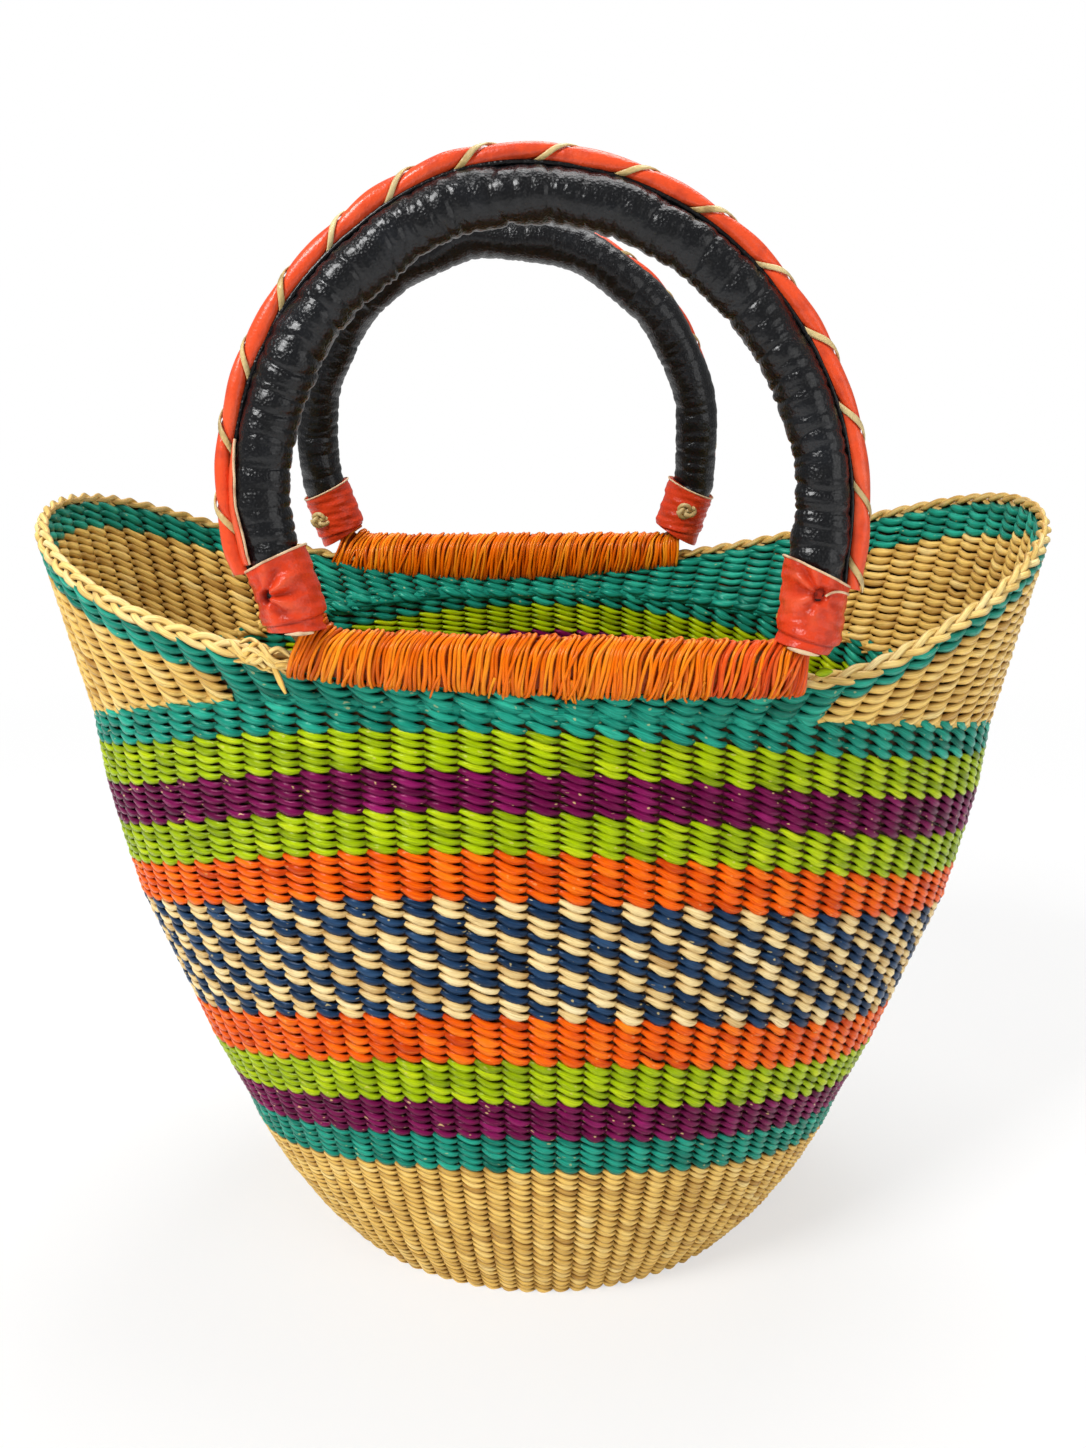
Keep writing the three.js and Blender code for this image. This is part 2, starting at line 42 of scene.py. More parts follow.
# Woven body, outer face: the same rows as the CAD bands
body = {
    "halfLength": 0.1966, "halfWidth": 0.127,
    "endHeight": 0.234, "frontHeight": 0.2645,
    "shoulderRise": 0.006, "rowTilt": 0.0024, "rowSag": 0.008,
    "wallThickness": 0.006,
    "columns": 84,        # stitches once round
    "stepsPerColumn": 8,  # points along one stitch
}
# Rows where the colour changes: shares of half length, half width, end height and front height
stationShares = np.array([
    [0.524, 0.748, 0, 0],
    [0.59, 0.819, 0.053, 0.079],
    [0.651, 0.882, 0.124, 0.181],
    [0.699, 0.929, 0.2, 0.283],
    [0.724, 0.945, 0.257, 0.344],
    [0.756, 0.961, 0.313, 0.408],
    [0.794, 0.976, 0.38, 0.477],
    [0.83, 0.992, 0.461, 0.552],
    [0.928, 1, 0.666, 0.735],
    [0.948, 1, 0.735, 0.804],
    [0.968, 1, 0.81, 0.862],
    [0.986, 0.992, 0.884, 0.918],
    [0.995, 0.984, 0.959, 0.972],
    [1, 0.984, 1, 1],
])
topStation = len(stationShares) - 1
rim = {
    "halfLength": 0.211, "halfWidth": 0.126,
    "frontRise": 0.0115, "tipRise": 0.089, "backRise": 0.007,
    "frontSkew": -0.008, "backSkew": 0.01,
    "frontPower": 2.8, "backPower": 2.4,
    "lengthPower": 2.8, "widthPower": 2.1,
    "borderRadius": 0.003,
    "dipAt": 0.112, "dipWidth": 0.03, "dipDepth": 0.0046,  # beside the right end of the front lashing
}


def sagAt(angle, heightShare):
    front = (1 - np.sin(angle)) / 2
    return heightShare * front * np.cos(angle) * (body["rowTilt"] + body["rowSag"] * np.sin(angle) ** 2)


# A point of the level rows, with the inset from the outer face
def wallPoint(level, angle, inset):
    level = np.broadcast_to(level, np.shape(angle))
    share = [np.interp(level, np.arange(topStation + 1), stationShares[:, i]) for i in range(4)]
    cos, sin = np.cos(angle), np.sin(angle)
    shoulder = body["shoulderRise"] * np.clip(level - topStation + 1, 0, 1) * np.sin(2 * angle) ** 2
    z = body["endHeight"] * share[2] * cos ** 2 + body["frontHeight"] * share[3] * sin ** 2
    x = (body["halfLength"] * share[0] - inset) * cos
    y = (body["halfWidth"] * share[1] - inset) * sin
    return np.stack([x, y, z + shoulder - sagAt(angle, share[3])], -1)


def levelTop(angle):
    return wallPoint(topStation, angle, 0)[..., 2]


# Height of the middle of the border, without and with the dip
def plainRim(angle):
    cos, sin = np.cos(angle), np.sin(angle)
    back = (1 + sin) / 2
    power = rim["frontPower"] + (rim["backPower"] - rim["frontPower"]) * back
    skew = (rim["frontSkew"] + (rim["backSkew"] - rim["frontSkew"]) * back) * cos * sin ** 2
    base = body["frontHeight"] + rim["frontRise"]
    climb = (body["endHeight"] + rim["tipRise"] - base + rim["backRise"] * sin) * np.abs(cos) ** power
    return base + climb + skew


def rimHeight(angle):
    x = rim["halfLength"] * np.cos(angle)
    dip = rim["dipDepth"] * np.exp(-((x - rim["dipAt"]) / rim["dipWidth"]) ** 2)
    return plainRim(angle) - dip * np.clip(-4 * np.sin(angle), 0, 1)


# A point between the level rows and the border, where the walls keep rising to the ends
def collarPoint(height, angle, inset):
    low = levelTop(angle)
    share = (height - low) / (rimHeight(angle) - low)
    topHalfWidth = body["halfWidth"] * stationShares[topStation, 1]
    halfLength = body["halfLength"] + (rim["halfLength"] - body["halfLength"]) * share - inset
    halfWidth = topHalfWidth + (rim["halfWidth"] - topHalfWidth) * share - inset
    lengthPower = 2 + (rim["lengthPower"] - 2) * share
    widthPower = 2 + (rim["widthPower"] - 2) * share
    cos = np.cos(angle)
    across = np.maximum(0, 1 - np.abs(cos) ** lengthPower) ** (1 / widthPower)
    return np.stack([halfLength * cos, np.sign(np.sin(angle)) * halfWidth * across, height], -1)


def rimPoint(angle):
    return collarPoint(rimHeight(angle), angle, rim["borderRadius"])


def walkedAlong(points):
    return np.concatenate([[0], np.cumsum(np.linalg.norm(np.diff(points, axis=0), axis=1))])


# Angles of points that lie at equal distances along a ring, from the middle of the front
def evenAngles(ring, count):
    fine = np.linspace(-math.pi / 2, 3 * math.pi / 2, 2881)
    walked = walkedAlong(ring(fine))
    return np.interp(np.arange(count) / count * walked[-1], walked, fine)


def unit(vectors):
    return vectors / np.maximum(np.linalg.norm(vectors, axis=-1, keepdims=True), 1e-9)


# Direction square to two others
def square(first, second):
    return unit(np.cross(first, second))


# Direction of a line at each of its points
def wayOf(points, closed=False):
    return unit(np.roll(points, -1, 0) - np.roll(points, 1, 0) if closed else np.gradient(points, axis=0))


# Equal turns once round
def turnsOf(count):
    return np.arange(count) * 2 * math.pi / count


# Quads of a grid that closes round its second axis, and along its first one where wanted
def gridQuads(rows, sides, closed):
    spans = rows if closed else rows - 1
    i, k = np.repeat(np.arange(spans), sides), np.tile(np.arange(sides), spans)
    j, m = (i + 1) % rows, (k + 1) % sides
    return i, k, np.stack([i * sides + k, i * sides + m, j * sides + m, j * sides + k], 1)


def cornerUv(u0, u1, v0, v1):
    return np.stack([u0, v0, u0, v1, u1, v1, u1, v0], 1).reshape(-1, 2)


# Gives a mesh its two UV layers, the tone of each point and smooth shading; the tone is random colour variation, and
# in places also painted shade and painted light
def dress(mesh, bakeUv, fibreUv, tones):
    for layer, values in (("OFBake", bakeUv), ("Fibre", fibreUv)):
        mesh.uv_layers.new(name=layer).data.foreach_set("uv", values.ravel())
    mesh.attributes.new("tone", "FLOAT", "POINT").data.foreach_set("value", tones)
    mesh.polygons.foreach_set("use_smooth", np.ones(len(mesh.polygons), bool))


# Meshes from strands: every strand is a row of sections with its own width, thickness and tone
class StrandSet:
    def __init__(self, sides=6):
        self.sides = sides
        self.strands = []

    def add(self, points, wide, thin, width, thickness, tone, closed=False):
        sizes = [np.broadcast_to(value, (len(points),)).astype(float) for value in (width, thickness, tone)]
        self.strands.append((points, wide, thin, *sizes, closed))

    # A strand that lies flat, with its face towards out
    def addFlat(self, points, out, width, thickness, tone, closed=False):
        self.add(points, square(wayOf(points, closed), out), out, width, thickness, tone, closed)

    def build(self, name):
        sides, total = self.sides, len(self.strands)
        turn = (np.arange(sides) + 0.5) * 2 * math.pi / sides
        verts, tones, faces, bakeUv, fibreUv, caps = [], [], [], [], [], []
        base = 0
        for number, (points, wide, thin, width, thickness, tone, closed) in enumerate(self.strands):
            count = len(points)
            ring = (points[:, None, :]
                    + wide[:, None, :] * (width[:, None] / 2 * np.cos(turn))[..., None]
                    + thin[:, None, :] * (thickness[:, None] / 2 * np.sin(turn))[..., None])
            verts.append(ring.reshape(-1, 3))
            tones.append(np.repeat(tone, sides))
            i, k, quads = gridQuads(count, sides, closed)
            faces.append(base + quads)
            spans = len(quads) // sides
            walked = walkedAlong(np.concatenate([points, points[:1]])) * 100 + number * 3.7
            bakeUv.append(cornerUv(i / spans, (i + 1) / spans,
                                   (number + k / sides) / total, (number + (k + 1) / sides) / total))
            fibreUv.append(cornerUv(walked[i], walked[i + 1], k / sides, (k + 1) / sides))
            if not closed:
                caps += [base + np.arange(sides)[::-1], base + (count - 1) * sides + np.arange(sides)]
            base += count * sides
        quads, verts = np.concatenate(faces), np.concatenate(verts)
        loops = np.concatenate([quads.ravel()] + caps)
        starts = np.concatenate([np.arange(len(quads)) * 4, len(quads) * 4 + np.arange(len(caps)) * sides])
        mesh = bpy.data.meshes.new(name)
        mesh.vertices.add(len(verts))
        mesh.vertices.foreach_set("co", verts.ravel())
        mesh.loops.add(len(loops))
        mesh.loops.foreach_set("vertex_index", loops.astype(np.int32))
        mesh.polygons.add(len(starts))
        mesh.polygons.foreach_set("loop_start", starts.astype(np.int32))
        mesh.update(calc_edges=True)
        spare = np.zeros((len(loops) - len(quads) * 4, 2))
        dress(mesh, np.concatenate(bakeUv + [spare]), np.concatenate(fibreUv + [spare]), np.concatenate(tones))
        mesh.validate()
        return mesh


# A skin from a grid of points: closed along its first axis, or with a face at each end
def skinMesh(name, grid, tones=None, closed=False, fibreScale=1):
    rows, sides = grid.shape[:2]
    i, k, quads = gridQuads(rows, sides, closed)
    spans, faces = len(quads) // sides, quads.tolist()
    uv = cornerUv(i / spans, (i + 1) / spans, k / sides, (k + 1) / sides)
    if not closed:
        faces += [list(range(sides))[::-1], list(range((rows - 1) * sides, rows * sides))]
        uv = np.concatenate([uv, np.zeros((2 * sides, 2))])
    mesh = bpy.data.meshes.new(name)
    mesh.from_pydata(grid.reshape(-1, 3).tolist(), [], faces)
    dress(mesh, uv, uv * fibreScale, np.zeros(rows * sides) if tones is None else tones.ravel())
    if sum(mesh.vertices[p.vertices[0]].co.dot(p.normal) * p.area for p in mesh.polygons) < 0:
        mesh.flip_normals()
    return mesh


# Hands a mesh or a set of strands over as a piece that rides a body, in place of the solids named
def place(name, shape, finish, rides, *replaced):
    mesh = shape.build(name) if isinstance(shape, StrandSet) else shape
    piece = bpy.data.objects.new(name, mesh)
    bpy.context.scene.collection.objects.link(piece)
    material, slot = finish
    piece.data.materials.append(material)
    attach(piece, rides)
    if replaced:
        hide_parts(*replaced)


# Colours as they look in daylight, 0 to 255
def tint(red, green, blue):
    linear = [(c / 255 / 12.92 if c < 11 else ((c / 255 + 0.055) / 1.055) ** 2.4) for c in (red, green, blue)]
    return (*linear, 1)


# Puts values, or the outputs of other nodes, into a node
def feed(tree, fed, values):
    for key, value in values.items():
        if isinstance(value, bpy.types.NodeSocket):
            tree.links.new(value, fed.inputs[key])
        else:
            fed.inputs[key].default_value = value


def addNode(tree, kind, values=None, **settings):
    added = tree.nodes.new("ShaderNode" + kind)
    for setting, value in settings.items():
        setattr(added, setting, value)
    feed(tree, added, values or {})
    return added


def noiseOn(tree, vector, scale, detail, stretch=(1, 1, 1)):
    mapping = addNode(tree, "Mapping", {"Vector": vector, "Scale": stretch})
    return addNode(tree, "TexNoise", {"Vector": mapping.outputs[0], "Scale": scale, "Detail": detail}).outputs[0]


def rangeOf(tree, value, low, high, outLow, outHigh):
    return addNode(tree, "MapRange", {0: value, 1: low, 2: high, 3: outLow, 4: outHigh}).outputs[0]


def mathOf(tree, operation, first, second=0, third=0):
    return addNode(tree, "Math", {0: first, 1: second, 2: third}, operation=operation).outputs[0]


# A group that takes colours and one number, and puts out a colour, a height and a roughness
def nodeGroup(name, colors, number):
    group = bpy.data.node_groups.new(name, "ShaderNodeTree")
    sockets = {
        "INPUT": [(label, "Color") for label in colors] + [(number, "Float")],
        "OUTPUT": [("Color", "Color"), ("Height", "Float"), ("Roughness", "Float")],
    }
    for way, labels in sockets.items():
        for label, kind in labels:
            group.interface.new_socket(label, in_out=way, socket_type="NodeSocket" + kind)
    return group, group.nodes.new("NodeGroupInput").outputs, group.nodes.new("NodeGroupOutput")


# Lays colours over the body colour: value, the range over which it shows, its share, its colour and its factor
def layered(group, given, layers):
    color = given["Body"]
    for value, low, high, share, other, factor in layers:
        mask = mathOf(group, "MULTIPLY", rangeOf(group, value, low, high, 0, share), factor)
        color = addNode(group, "Mix", {0: mask, 6: color, 7: given[other]}, data_type="RGBA").outputs[2]
    return color


# Split grass: tone of each stitch, fine streaks along it, painted shade on its sides and undyed flecks
def makeGrassGroup():
    group, given, result = nodeGroup("grassStrand", ("Body", "Shade", "Light", "Fleck"), "Fleck amount")
    tone = addNode(group, "Attribute", attribute_name="tone").outputs["Fac"]
    fibre = addNode(group, "UVMap", uv_map="Fibre").outputs[0]
    streaks = noiseOn(group, fibre, 1, 3, (1.3, 26, 1))
    blotches = noiseOn(group, fibre, 1, 2, (0.9, 1.5, 1))
    spots = noiseOn(group, fibre, 1, 1, (3.1, 5, 1))
    # painted shade on the strand's sides, found from the turn round the strand in the Fibre UV
    across = addNode(group, "SeparateXYZ", {0: fibre}).outputs["Y"]
    wave = mathOf(group, "MULTIPLY_ADD", across, 2 * math.pi, 0.5)
    sides = mathOf(group, "ABSOLUTE", mathOf(group, "COSINE", wave))
    color = layered(group, given, [
        (tone, 0, 1, 0.7, "Light", 1), (tone, 0, -1, 0.75, "Shade", 1),
        (streaks, 0.5, 0.72, 0.55, "Shade", 1), (streaks, 0.46, 0.3, 0.4, "Light", 1),
        (blotches, 0.56, 0.78, 0.4, "Shade", 1), (sides, 0.55, 1, 0.7, "Shade", 1),
        (spots, 0.7, 0.74, 1, "Fleck", given["Fleck amount"]),
    ])
    feed(group, result, {0: color, 1: streaks, 2: rangeOf(group, streaks, 0.3, 0.7, 0.27, 0.46)})
    return group


# Leather: grain and creases, darker in the creases and paler where it rubs. The tone attribute darkens it towards the
# dark colour and lightens it towards the rubbed colour; on the cuffs that is painted shade and painted light, on the
# welt painted shade
def makeLeatherGroup():
    group, given, result = nodeGroup("leatherHide", ("Body", "Dark", "RubbedAndLit"), "Age")
    spot = addNode(group, "TexCoord").outputs["Object"]
    tone = addNode(group, "Attribute", attribute_name="tone").outputs["Fac"]
    cells = addNode(group, "TexVoronoi", {"Scale": 900, "Vector": spot}).outputs["Distance"]
    creases, clouds = noiseOn(group, spot, 160, 4), noiseOn(group, spot, 45, 3)
    color = layered(group, given, [
        (creases, 0.5, 0.3, 0.8, "Dark", given["Age"]), (clouds, 0.55, 0.75, 0.6, "RubbedAndLit", given["Age"]),
        (tone, 0, -1, 1, "Dark", 1), (tone, 0, 1, 1, "RubbedAndLit", 1),
    ])
    height = mathOf(group, "MULTIPLY_ADD", cells, 0.5, creases)
    feed(group, result, {0: color, 1: height, 2: rangeOf(group, creases, 0.3, 0.7, 0.38, 0.26)})
    return group


# A material and its slot: the group's values, strength and distance of the bump, and the shader's own values
def finishOf(name, slot, group, values, bump, own):
    material = bpy.data.materials.new(name)
    material.use_nodes = True
    tree = material.node_tree
    look = addNode(tree, "Group", values, node_tree=group).outputs
    relief = addNode(tree, "Bump", {"Strength": bump[0], "Distance": bump[1], "Height": look["Height"]})
    feed(tree, tree.nodes["Principled BSDF"], {
        "Base Color": look["Color"], "Roughness": look["Roughness"], "Normal": relief.outputs[0], **own,
    })
    return material, slot


grassGroup, leatherGroup = makeGrassGroup(), makeLeatherGroup()
fleckTint = tint(225, 200, 130)


def grass(name, slot, base, shade, light, fleckAmount=0.5, coat=0.12):
    sheen = np.array(tint(*light))
    values = {"Body": tint(*base), "Shade": tint(*shade), "Light": tint(*light),
              "Fleck": fleckTint, "Fleck amount": fleckAmount}
    return finishOf(name, slot, grassGroup, values, (0.45, 0.0004), {
        "Specular IOR Level": 0.3, "Specular Tint": np.maximum(sheen / sheen[:3].max(), 0.12).clip(0, 1),
        "Coat Weight": coat, "Coat Roughness": 0.18,
    })


def leather(name, slot, base, dark, rubbedAndLit, shine, coat, bumpStrength, age):
    values = {"Body": tint(*base), "Dark": tint(*dark), "RubbedAndLit": tint(*rubbedAndLit), "Age": age}
    return finishOf(name, slot, leatherGroup, values, (bumpStrength, 0.0006), {
        "Specular IOR Level": shine, "Coat Weight": coat, "Coat Roughness": 0.16,
    })


naturalGrass = grass("natural grass", "natural_grass", (246, 204, 108), (150, 98, 34), (253, 230, 160), 0, 0.1)
tealGrass = grass("teal grass", "teal_grass", (26, 142, 120), (0, 62, 48), (60, 200, 168), 0.4, 0.14)
purpleGrass = grass("purple grass", "purple_grass", (106, 8, 64), (44, 0, 24), (160, 30, 108), 0.7)
limeGrass = grass("lime grass", "lime_grass", (164, 192, 0), (84, 104, 0), (220, 230, 30), 0.35)
orangeGrass = grass("orange grass", "orange_grass", (250, 100, 0), (170, 36, 0), (255, 150, 30), 0.25)
navyGrass = grass("navy grass", "navy_grass", (22, 46, 76), (4, 12, 24), (58, 92, 130), 0.6)
lashingGrass = grass("lashing grass", "orange_grass", (250, 114, 0), (140, 32, 0), (255, 178, 40), 0.12, 0.2)
reddishGrass = grass("reddish lashing grass", "orange_grass", (234, 84, 24), (140, 26, 6), (250, 134, 60), 0.2, 0.08)
borderGrass = grass("border grass", "natural_grass", (244, 212, 126), (160, 108, 36), (254, 238, 180), 0, 0.1)
checkerGrass = grass("pale checker grass", "natural_grass", (246, 218, 152), (170, 122, 56), (254, 240, 196), 0, 0.08)
shadowGrass = grass("shaded inner grass", "natural_grass", (24, 14, 5), (9, 5, 2), (40, 25, 10), 0, 0)
blackLeather = leather("black leather", "black_leather", (11, 12, 15), (3, 3, 4), (28, 31, 36), 0.2, 0.34, 0.9, 1)
redLeather = leather("red leather", "red_leather", (214, 62, 28), (112, 16, 8), (240, 110, 72), 0.22, 0.06, 0.5, 0.5)
redPiping = leather(
    "red piping leather", "red_leather", (230, 78, 36), (150, 32, 16), (246, 128, 88), 0.35, 0.12, 0.35, 0.5,
)
cutEdge = leather(
    "cut edge of leather", "red_leather", (224, 194, 156), (160, 110, 80), (244, 226, 196), 0.2, 0, 0.4, 1,
)
rawhide = leather("rawhide thong", "rawhide", (204, 176, 116), (128, 94, 50), (232, 214, 162), 0.3, 0, 0.5, 1)
print("materials made")

# Twining: two strands wind round each other and hold the stakes between them
twining = {
    "strandThickness": 0.0021,
    "levelSlant": 0.42,   # of the row's height
    "levelSmile": 0.13,
    "levelTaper": 0.46,   # how much narrower a strand gets where it dives
    "collarSlant": 0.34,  # the same between the level rows and the border
    "collarSmile": 0.26,
    "collarTaper": 0.3,
    "widthShare": 1.17,
    "flatTop": 0.54,      # power of the path's swing: under 1 it stays at the surface for longer
    "unevenness": 0.09, "thickUnevenness": 0.08, "wander": 0.06,
    "toneSpread": 0.34,
    "endWidth": 0.35, "endLength": 0.7,  # of a strand that ends in the row, in columns
    "diveShade": 0.7,     # painted shade: darker where a strand dives between the columns
}


# One twined row along a ring of points: adds its two strands to the sets given.
# collar says how far the row has the collar's values: 0 at the level rows, 1 at the raised ends
def twine(sets, points, up, pitch, shift, mask=None, collar=0, columns=body["columns"]):
    slant, smile, taper = (
        twining["level" + part] * (1 - collar) + twining["collar" + part] * collar
        for part in ("Slant", "Smile", "Taper")
    )
    steps = len(points) // columns
    tangent = wayOf(points, True)
    outward = square(tangent, up)
    upward = square(outward, tangent)
    swing = (body["wallThickness"] - twining["strandThickness"]) / 2
    for side, strandSet in enumerate(sets):
        phase = math.pi * (np.arange(len(points)) / steps + side + shift)
        stitch = np.floor(phase / math.pi + 0.5).astype(int) % columns
        tones = np.clip(dice.normal(0, twining["toneSpread"], columns), -1, 1)[stitch]
        uneven = dice.normal(0, 1, columns)[stitch]
        wander = dice.normal(0, 1, columns)[stitch]
        bulk = np.cos(phase) ** 2
        outer = np.sign(np.cos(phase)) * np.abs(np.cos(phase)) ** twining["flatTop"]
        # painted shade where the strand dives between the columns
        tones = tones - twining["diveShade"] * (1 - bulk) ** 3
        lift = twining["wander"] * wander * bulk - slant * np.sin(phase) - smile * (bulk - 0.5)
        path = points + outward * (swing * outer)[:, None] + upward * (lift * pitch)[:, None]
        width = pitch * twining["widthShare"] * (1 - taper * (1 - bulk))
        width = width * (1 + twining["unevenness"] * uneven * bulk)
        thickness = twining["strandThickness"] * (1 + twining["thickUnevenness"] * uneven * bulk)
        # the flat of a strand leans with the slope of its path
        along = wayOf(path, True)
        thin = square(along, upward)
        wide = square(thin, along)
        if mask is None or mask.all():
            strandSet.add(path, wide, thin, width, thickness, tones, closed=True)
            continue
        for part in spansOf(mask):
            count = np.arange(len(part))
            away = np.minimum(count, count[::-1]) / (twining["endLength"] * steps)
            ends = np.clip(twining["endWidth"] + away, 0, 1)
            strandSet.add(path[part], wide[part], thin[part], width[part] * ends, thickness[part] * ends, tones[part])


# Runs of true entries, also over the seam
def spansOf(mask):
    if mask.all():
        return [np.arange(len(mask))]
    order = (np.arange(len(mask)) + np.argmin(mask)) % len(mask)
    runs = np.split(order, np.flatnonzero(np.diff(mask[order])) + 1)
    return [run for run in runs if mask[run[0]] and len(run) > body["stepsPerColumn"]]


wallMiddle = body["wallThickness"] / 2
ringCount = body["columns"] * body["stepsPerColumn"]


# Points of a row and the step to the next row, from a function of the row's place and the angle
def rowOf(surface, at, step, angles):
    points = surface(at, angles)
    rise = surface(at + step / 2, angles) - surface(at - step / 2, angles)
    return points, unit(rise), np.linalg.norm(rise, axis=1)


def wallSurface(level, angle):
    return wallPoint(level, angle, wallMiddle)


# Level bands: node, parts (first station, last station and number of rows) and finish
bands = [
    ("lower_natural_wall", [(0, 1, 7), (1, 2, 8), (2, 3, 9)], naturalGrass),
    ("lower_teal_band", [(3, 4, 5)], tealGrass),
    ("lower_purple_band", [(4, 5, 5)], purpleGrass),
    ("lower_green_band", [(5, 6, 5)], limeGrass),
    ("lower_orange_band", [(6, 7, 5)], orangeGrass),
    ("checker_band", [(7, 8, 14)], navyGrass),
    ("upper_orange_band", [(8, 9, 5)], orangeGrass),
    ("middle_green_band", [(9, 10, 5)], limeGrass),
    ("upper_purple_band", [(10, 11, 5)], purpleGrass),
    ("upper_green_band", [(11, 12, 5)], limeGrass),
]
twoPieces = {
    "lower_natural_wall": [("lower_natural_rows_first", naturalGrass), ("lower_natural_rows_second", naturalGrass)],
    "checker_band": [("checker_band_navy_strands", navyGrass), ("checker_band_natural_strands", checkerGrass)],
}
firstPieceRows, checkerRows = 12, 2
rowNumber = 0
stakeRows = []
for node, parts, finish in bands:
    pieces = twoPieces.get(node, [(node + "_rows", finish)])
    sets = [StrandSet() for _ in pieces]
    levels = [(low + (high - low) * (r + 0.5) / rows, (high - low) / rows)
              for low, high, rows in parts for r in range(rows)]
    for index, (level, step) in enumerate(levels):
        angles = evenAngles(lambda a: wallSurface(level, a), ringCount)
        points, up, pitch = rowOf(wallSurface, level, step, angles)
        stakeRows.append(points)
        if node == "checker_band":
            twine(sets if index // checkerRows % 2 == 0 else sets[::-1], points, up, pitch, 0)
        else:
            twine([sets[0 if index < firstPieceRows else -1]] * 2, points, up, pitch, rowNumber % 2)
        rowNumber += 1
    for (name, finish), strandSet in zip(pieces, sets):
        place(name, strandSet, finish, "basket", node)
print("level bands woven:", rowNumber, "rows")

# Upper teal rows, end gussets and the teal rows along the rim
upper = {
    "tealPitch": 0.0038, "rowPitch": 0.0035, "borderGap": -0.0012, "fanHeight": 0.06,
    "underLashing": 0.0016, "lashingHalf": 0.084, "lashingFade": 0.02,  # rows are pressed down under a lashing
    "tealMost": 6, "tealShown": 0.6,  # rows at the most, and the share of its pitch that a row needs to show
    "tealRows": {"left": 3, "rightFront": 2, "rightBack": 4},  # over the natural gussets
    "frontFrom": {"left": 0.58, "right": 0.5}, "backFrom": 0.62,  # where the natural rows begin, along the length
    "tuck": 0.0012,       # how far the last rows slip in under their neighbours
    "rightToBack": 0.3,   # over what share of the turn the right end's rows go from front to back
    "slopeStep": 0.02, "steepest": 0.45, "shownFrom": 0.08,
    "hiddenWidth": 0.0064, "hiddenInset": 0.0017, "hiddenThickness": 0.0014, "hiddenDrop": 0.0004,
    "borderBack": {"drop": 0.0036, "width": 0.004, "thickness": 0.003},
}
handleSpots = {"front": 0.0038, "back": -0.0175}  # middle of each handle along X
lowAngles = evenAngles(lambda a: wallSurface(topStation, a), ringCount)
rimAngles = evenAngles(rimPoint, ringCount)
collarRise = rimHeight(lowAngles) - levelTop(lowAngles)


# The columns of stitches keep on from the level rows; high collars spread them over the border
def blended(share):
    fan = np.clip(collarRise / upper["fanHeight"], 0, 1)
    return lowAngles + (rimAngles - lowAngles) * np.clip(share, 0, 1) * fan


def tealStart(angle):
    return wallPoint(topStation - 1, angle, 0)[..., 2]


# Level teal rows; above the level top they follow the collar
def tealSurface(offset, angle):
    bottom, top = tealStart(angle), levelTop(angle)
    share = np.clip(offset / (top - bottom), -0.5, 1)
    spare = np.maximum(offset - (top - bottom), 0)
    flare = collarPoint(top + spare, angle, wallMiddle) - collarPoint(top, angle, wallMiddle)
    point = (wallPoint(topStation - 1 + share, angle, wallMiddle) + flare) * [1, 1, 0]
    return point + np.stack([0 * angle, 0 * angle, bottom + offset], -1)


tealUpper = StrandSet()
for row in range(upper["tealMost"]):
    offset = (row + 0.5) * upper["tealPitch"]
    mask = offset - upper["tealShown"] * upper["tealPitch"] < levelTop(lowAngles) - tealStart(lowAngles)
    if not mask.any():
        break
    points, up, pitch = rowOf(tealSurface, offset, upper["tealPitch"], lowAngles)
    twine([tealUpper] * 2, points, up, pitch, rowNumber % 2, mask)
    stakeRows.append(points)
    rowNumber += 1
place("upper_teal_band_rows", tealUpper, tealGrass, "basket", "upper_teal_band")

gussetSets = {"left": StrandSet(), "right": StrandSet()}


# Rows along a sloping rim lie further apart in height
def slopeShare(angle):
    ends = [rimPoint(angle + turn) for turn in (-upper["slopeStep"], upper["slopeStep"])]
    way = unit(ends[1] - ends[0])
    return 1 / np.sqrt(1 - np.clip(way[..., 2] ** 2, 0, upper["steepest"]))


def underLashing(angle):
    x = rimPoint(angle)[..., 0]
    spot = np.where(np.sin(angle) < 0, handleSpots["front"], handleSpots["back"])
    return upper["underLashing"] * np.clip(1 - (np.abs(x - spot) - upper["lashingHalf"]) / upper["lashingFade"], 0, 1)


def rimTop(angle):
    return rimHeight(angle) - rim["borderRadius"] - upper["borderGap"] - underLashing(angle)


# Teal rows between the border and the natural rows of the end gussets
def tealAbove(angle):
    rows = upper["tealRows"]
    back = np.clip(np.sin(angle) / upper["rightToBack"] + 0.5, 0, 1)
    right = rows["rightFront"] + (rows["rightBack"] - rows["rightFront"]) * back
    return np.where(np.cos(angle) < 0, rows["left"], right)


def inGusset(row, angle):
    front = np.where(np.cos(angle) < 0, upper["frontFrom"]["left"], upper["frontFrom"]["right"])
    first = np.where(np.sin(angle) < 0, front, upper["backFrom"])
    return (row > tealAbove(angle) - 0.5) & (np.abs(np.cos(angle)) > first)


def rowDepth(row, angle):
    return row * upper["rowPitch"] * slopeShare(angle)


def collarRoom(angle):
    return rimTop(angle) - levelTop(angle)


def collarSurface(row, angle):
    above = collarRoom(angle) - rowDepth(row, angle)
    under = upper["tuck"] * np.clip(0.4 - above / upper["rowPitch"], 0, 1)
    return collarPoint(levelTop(angle) + above, angle, wallMiddle + under)


# Distance between rows square to their line
def squarePitch(points, up, pitch):
    return pitch * np.sqrt(1 - np.clip((up * wayOf(points, True)).sum(1), -0.9, 0.9) ** 2)


rimSet = StrandSet()


# What is teal and what is natural, at the left and at the right
def masksOf(natural, right):
    return (rimSet, ~natural), (gussetSets["left"], natural & ~right), (gussetSets["right"], natural & right)


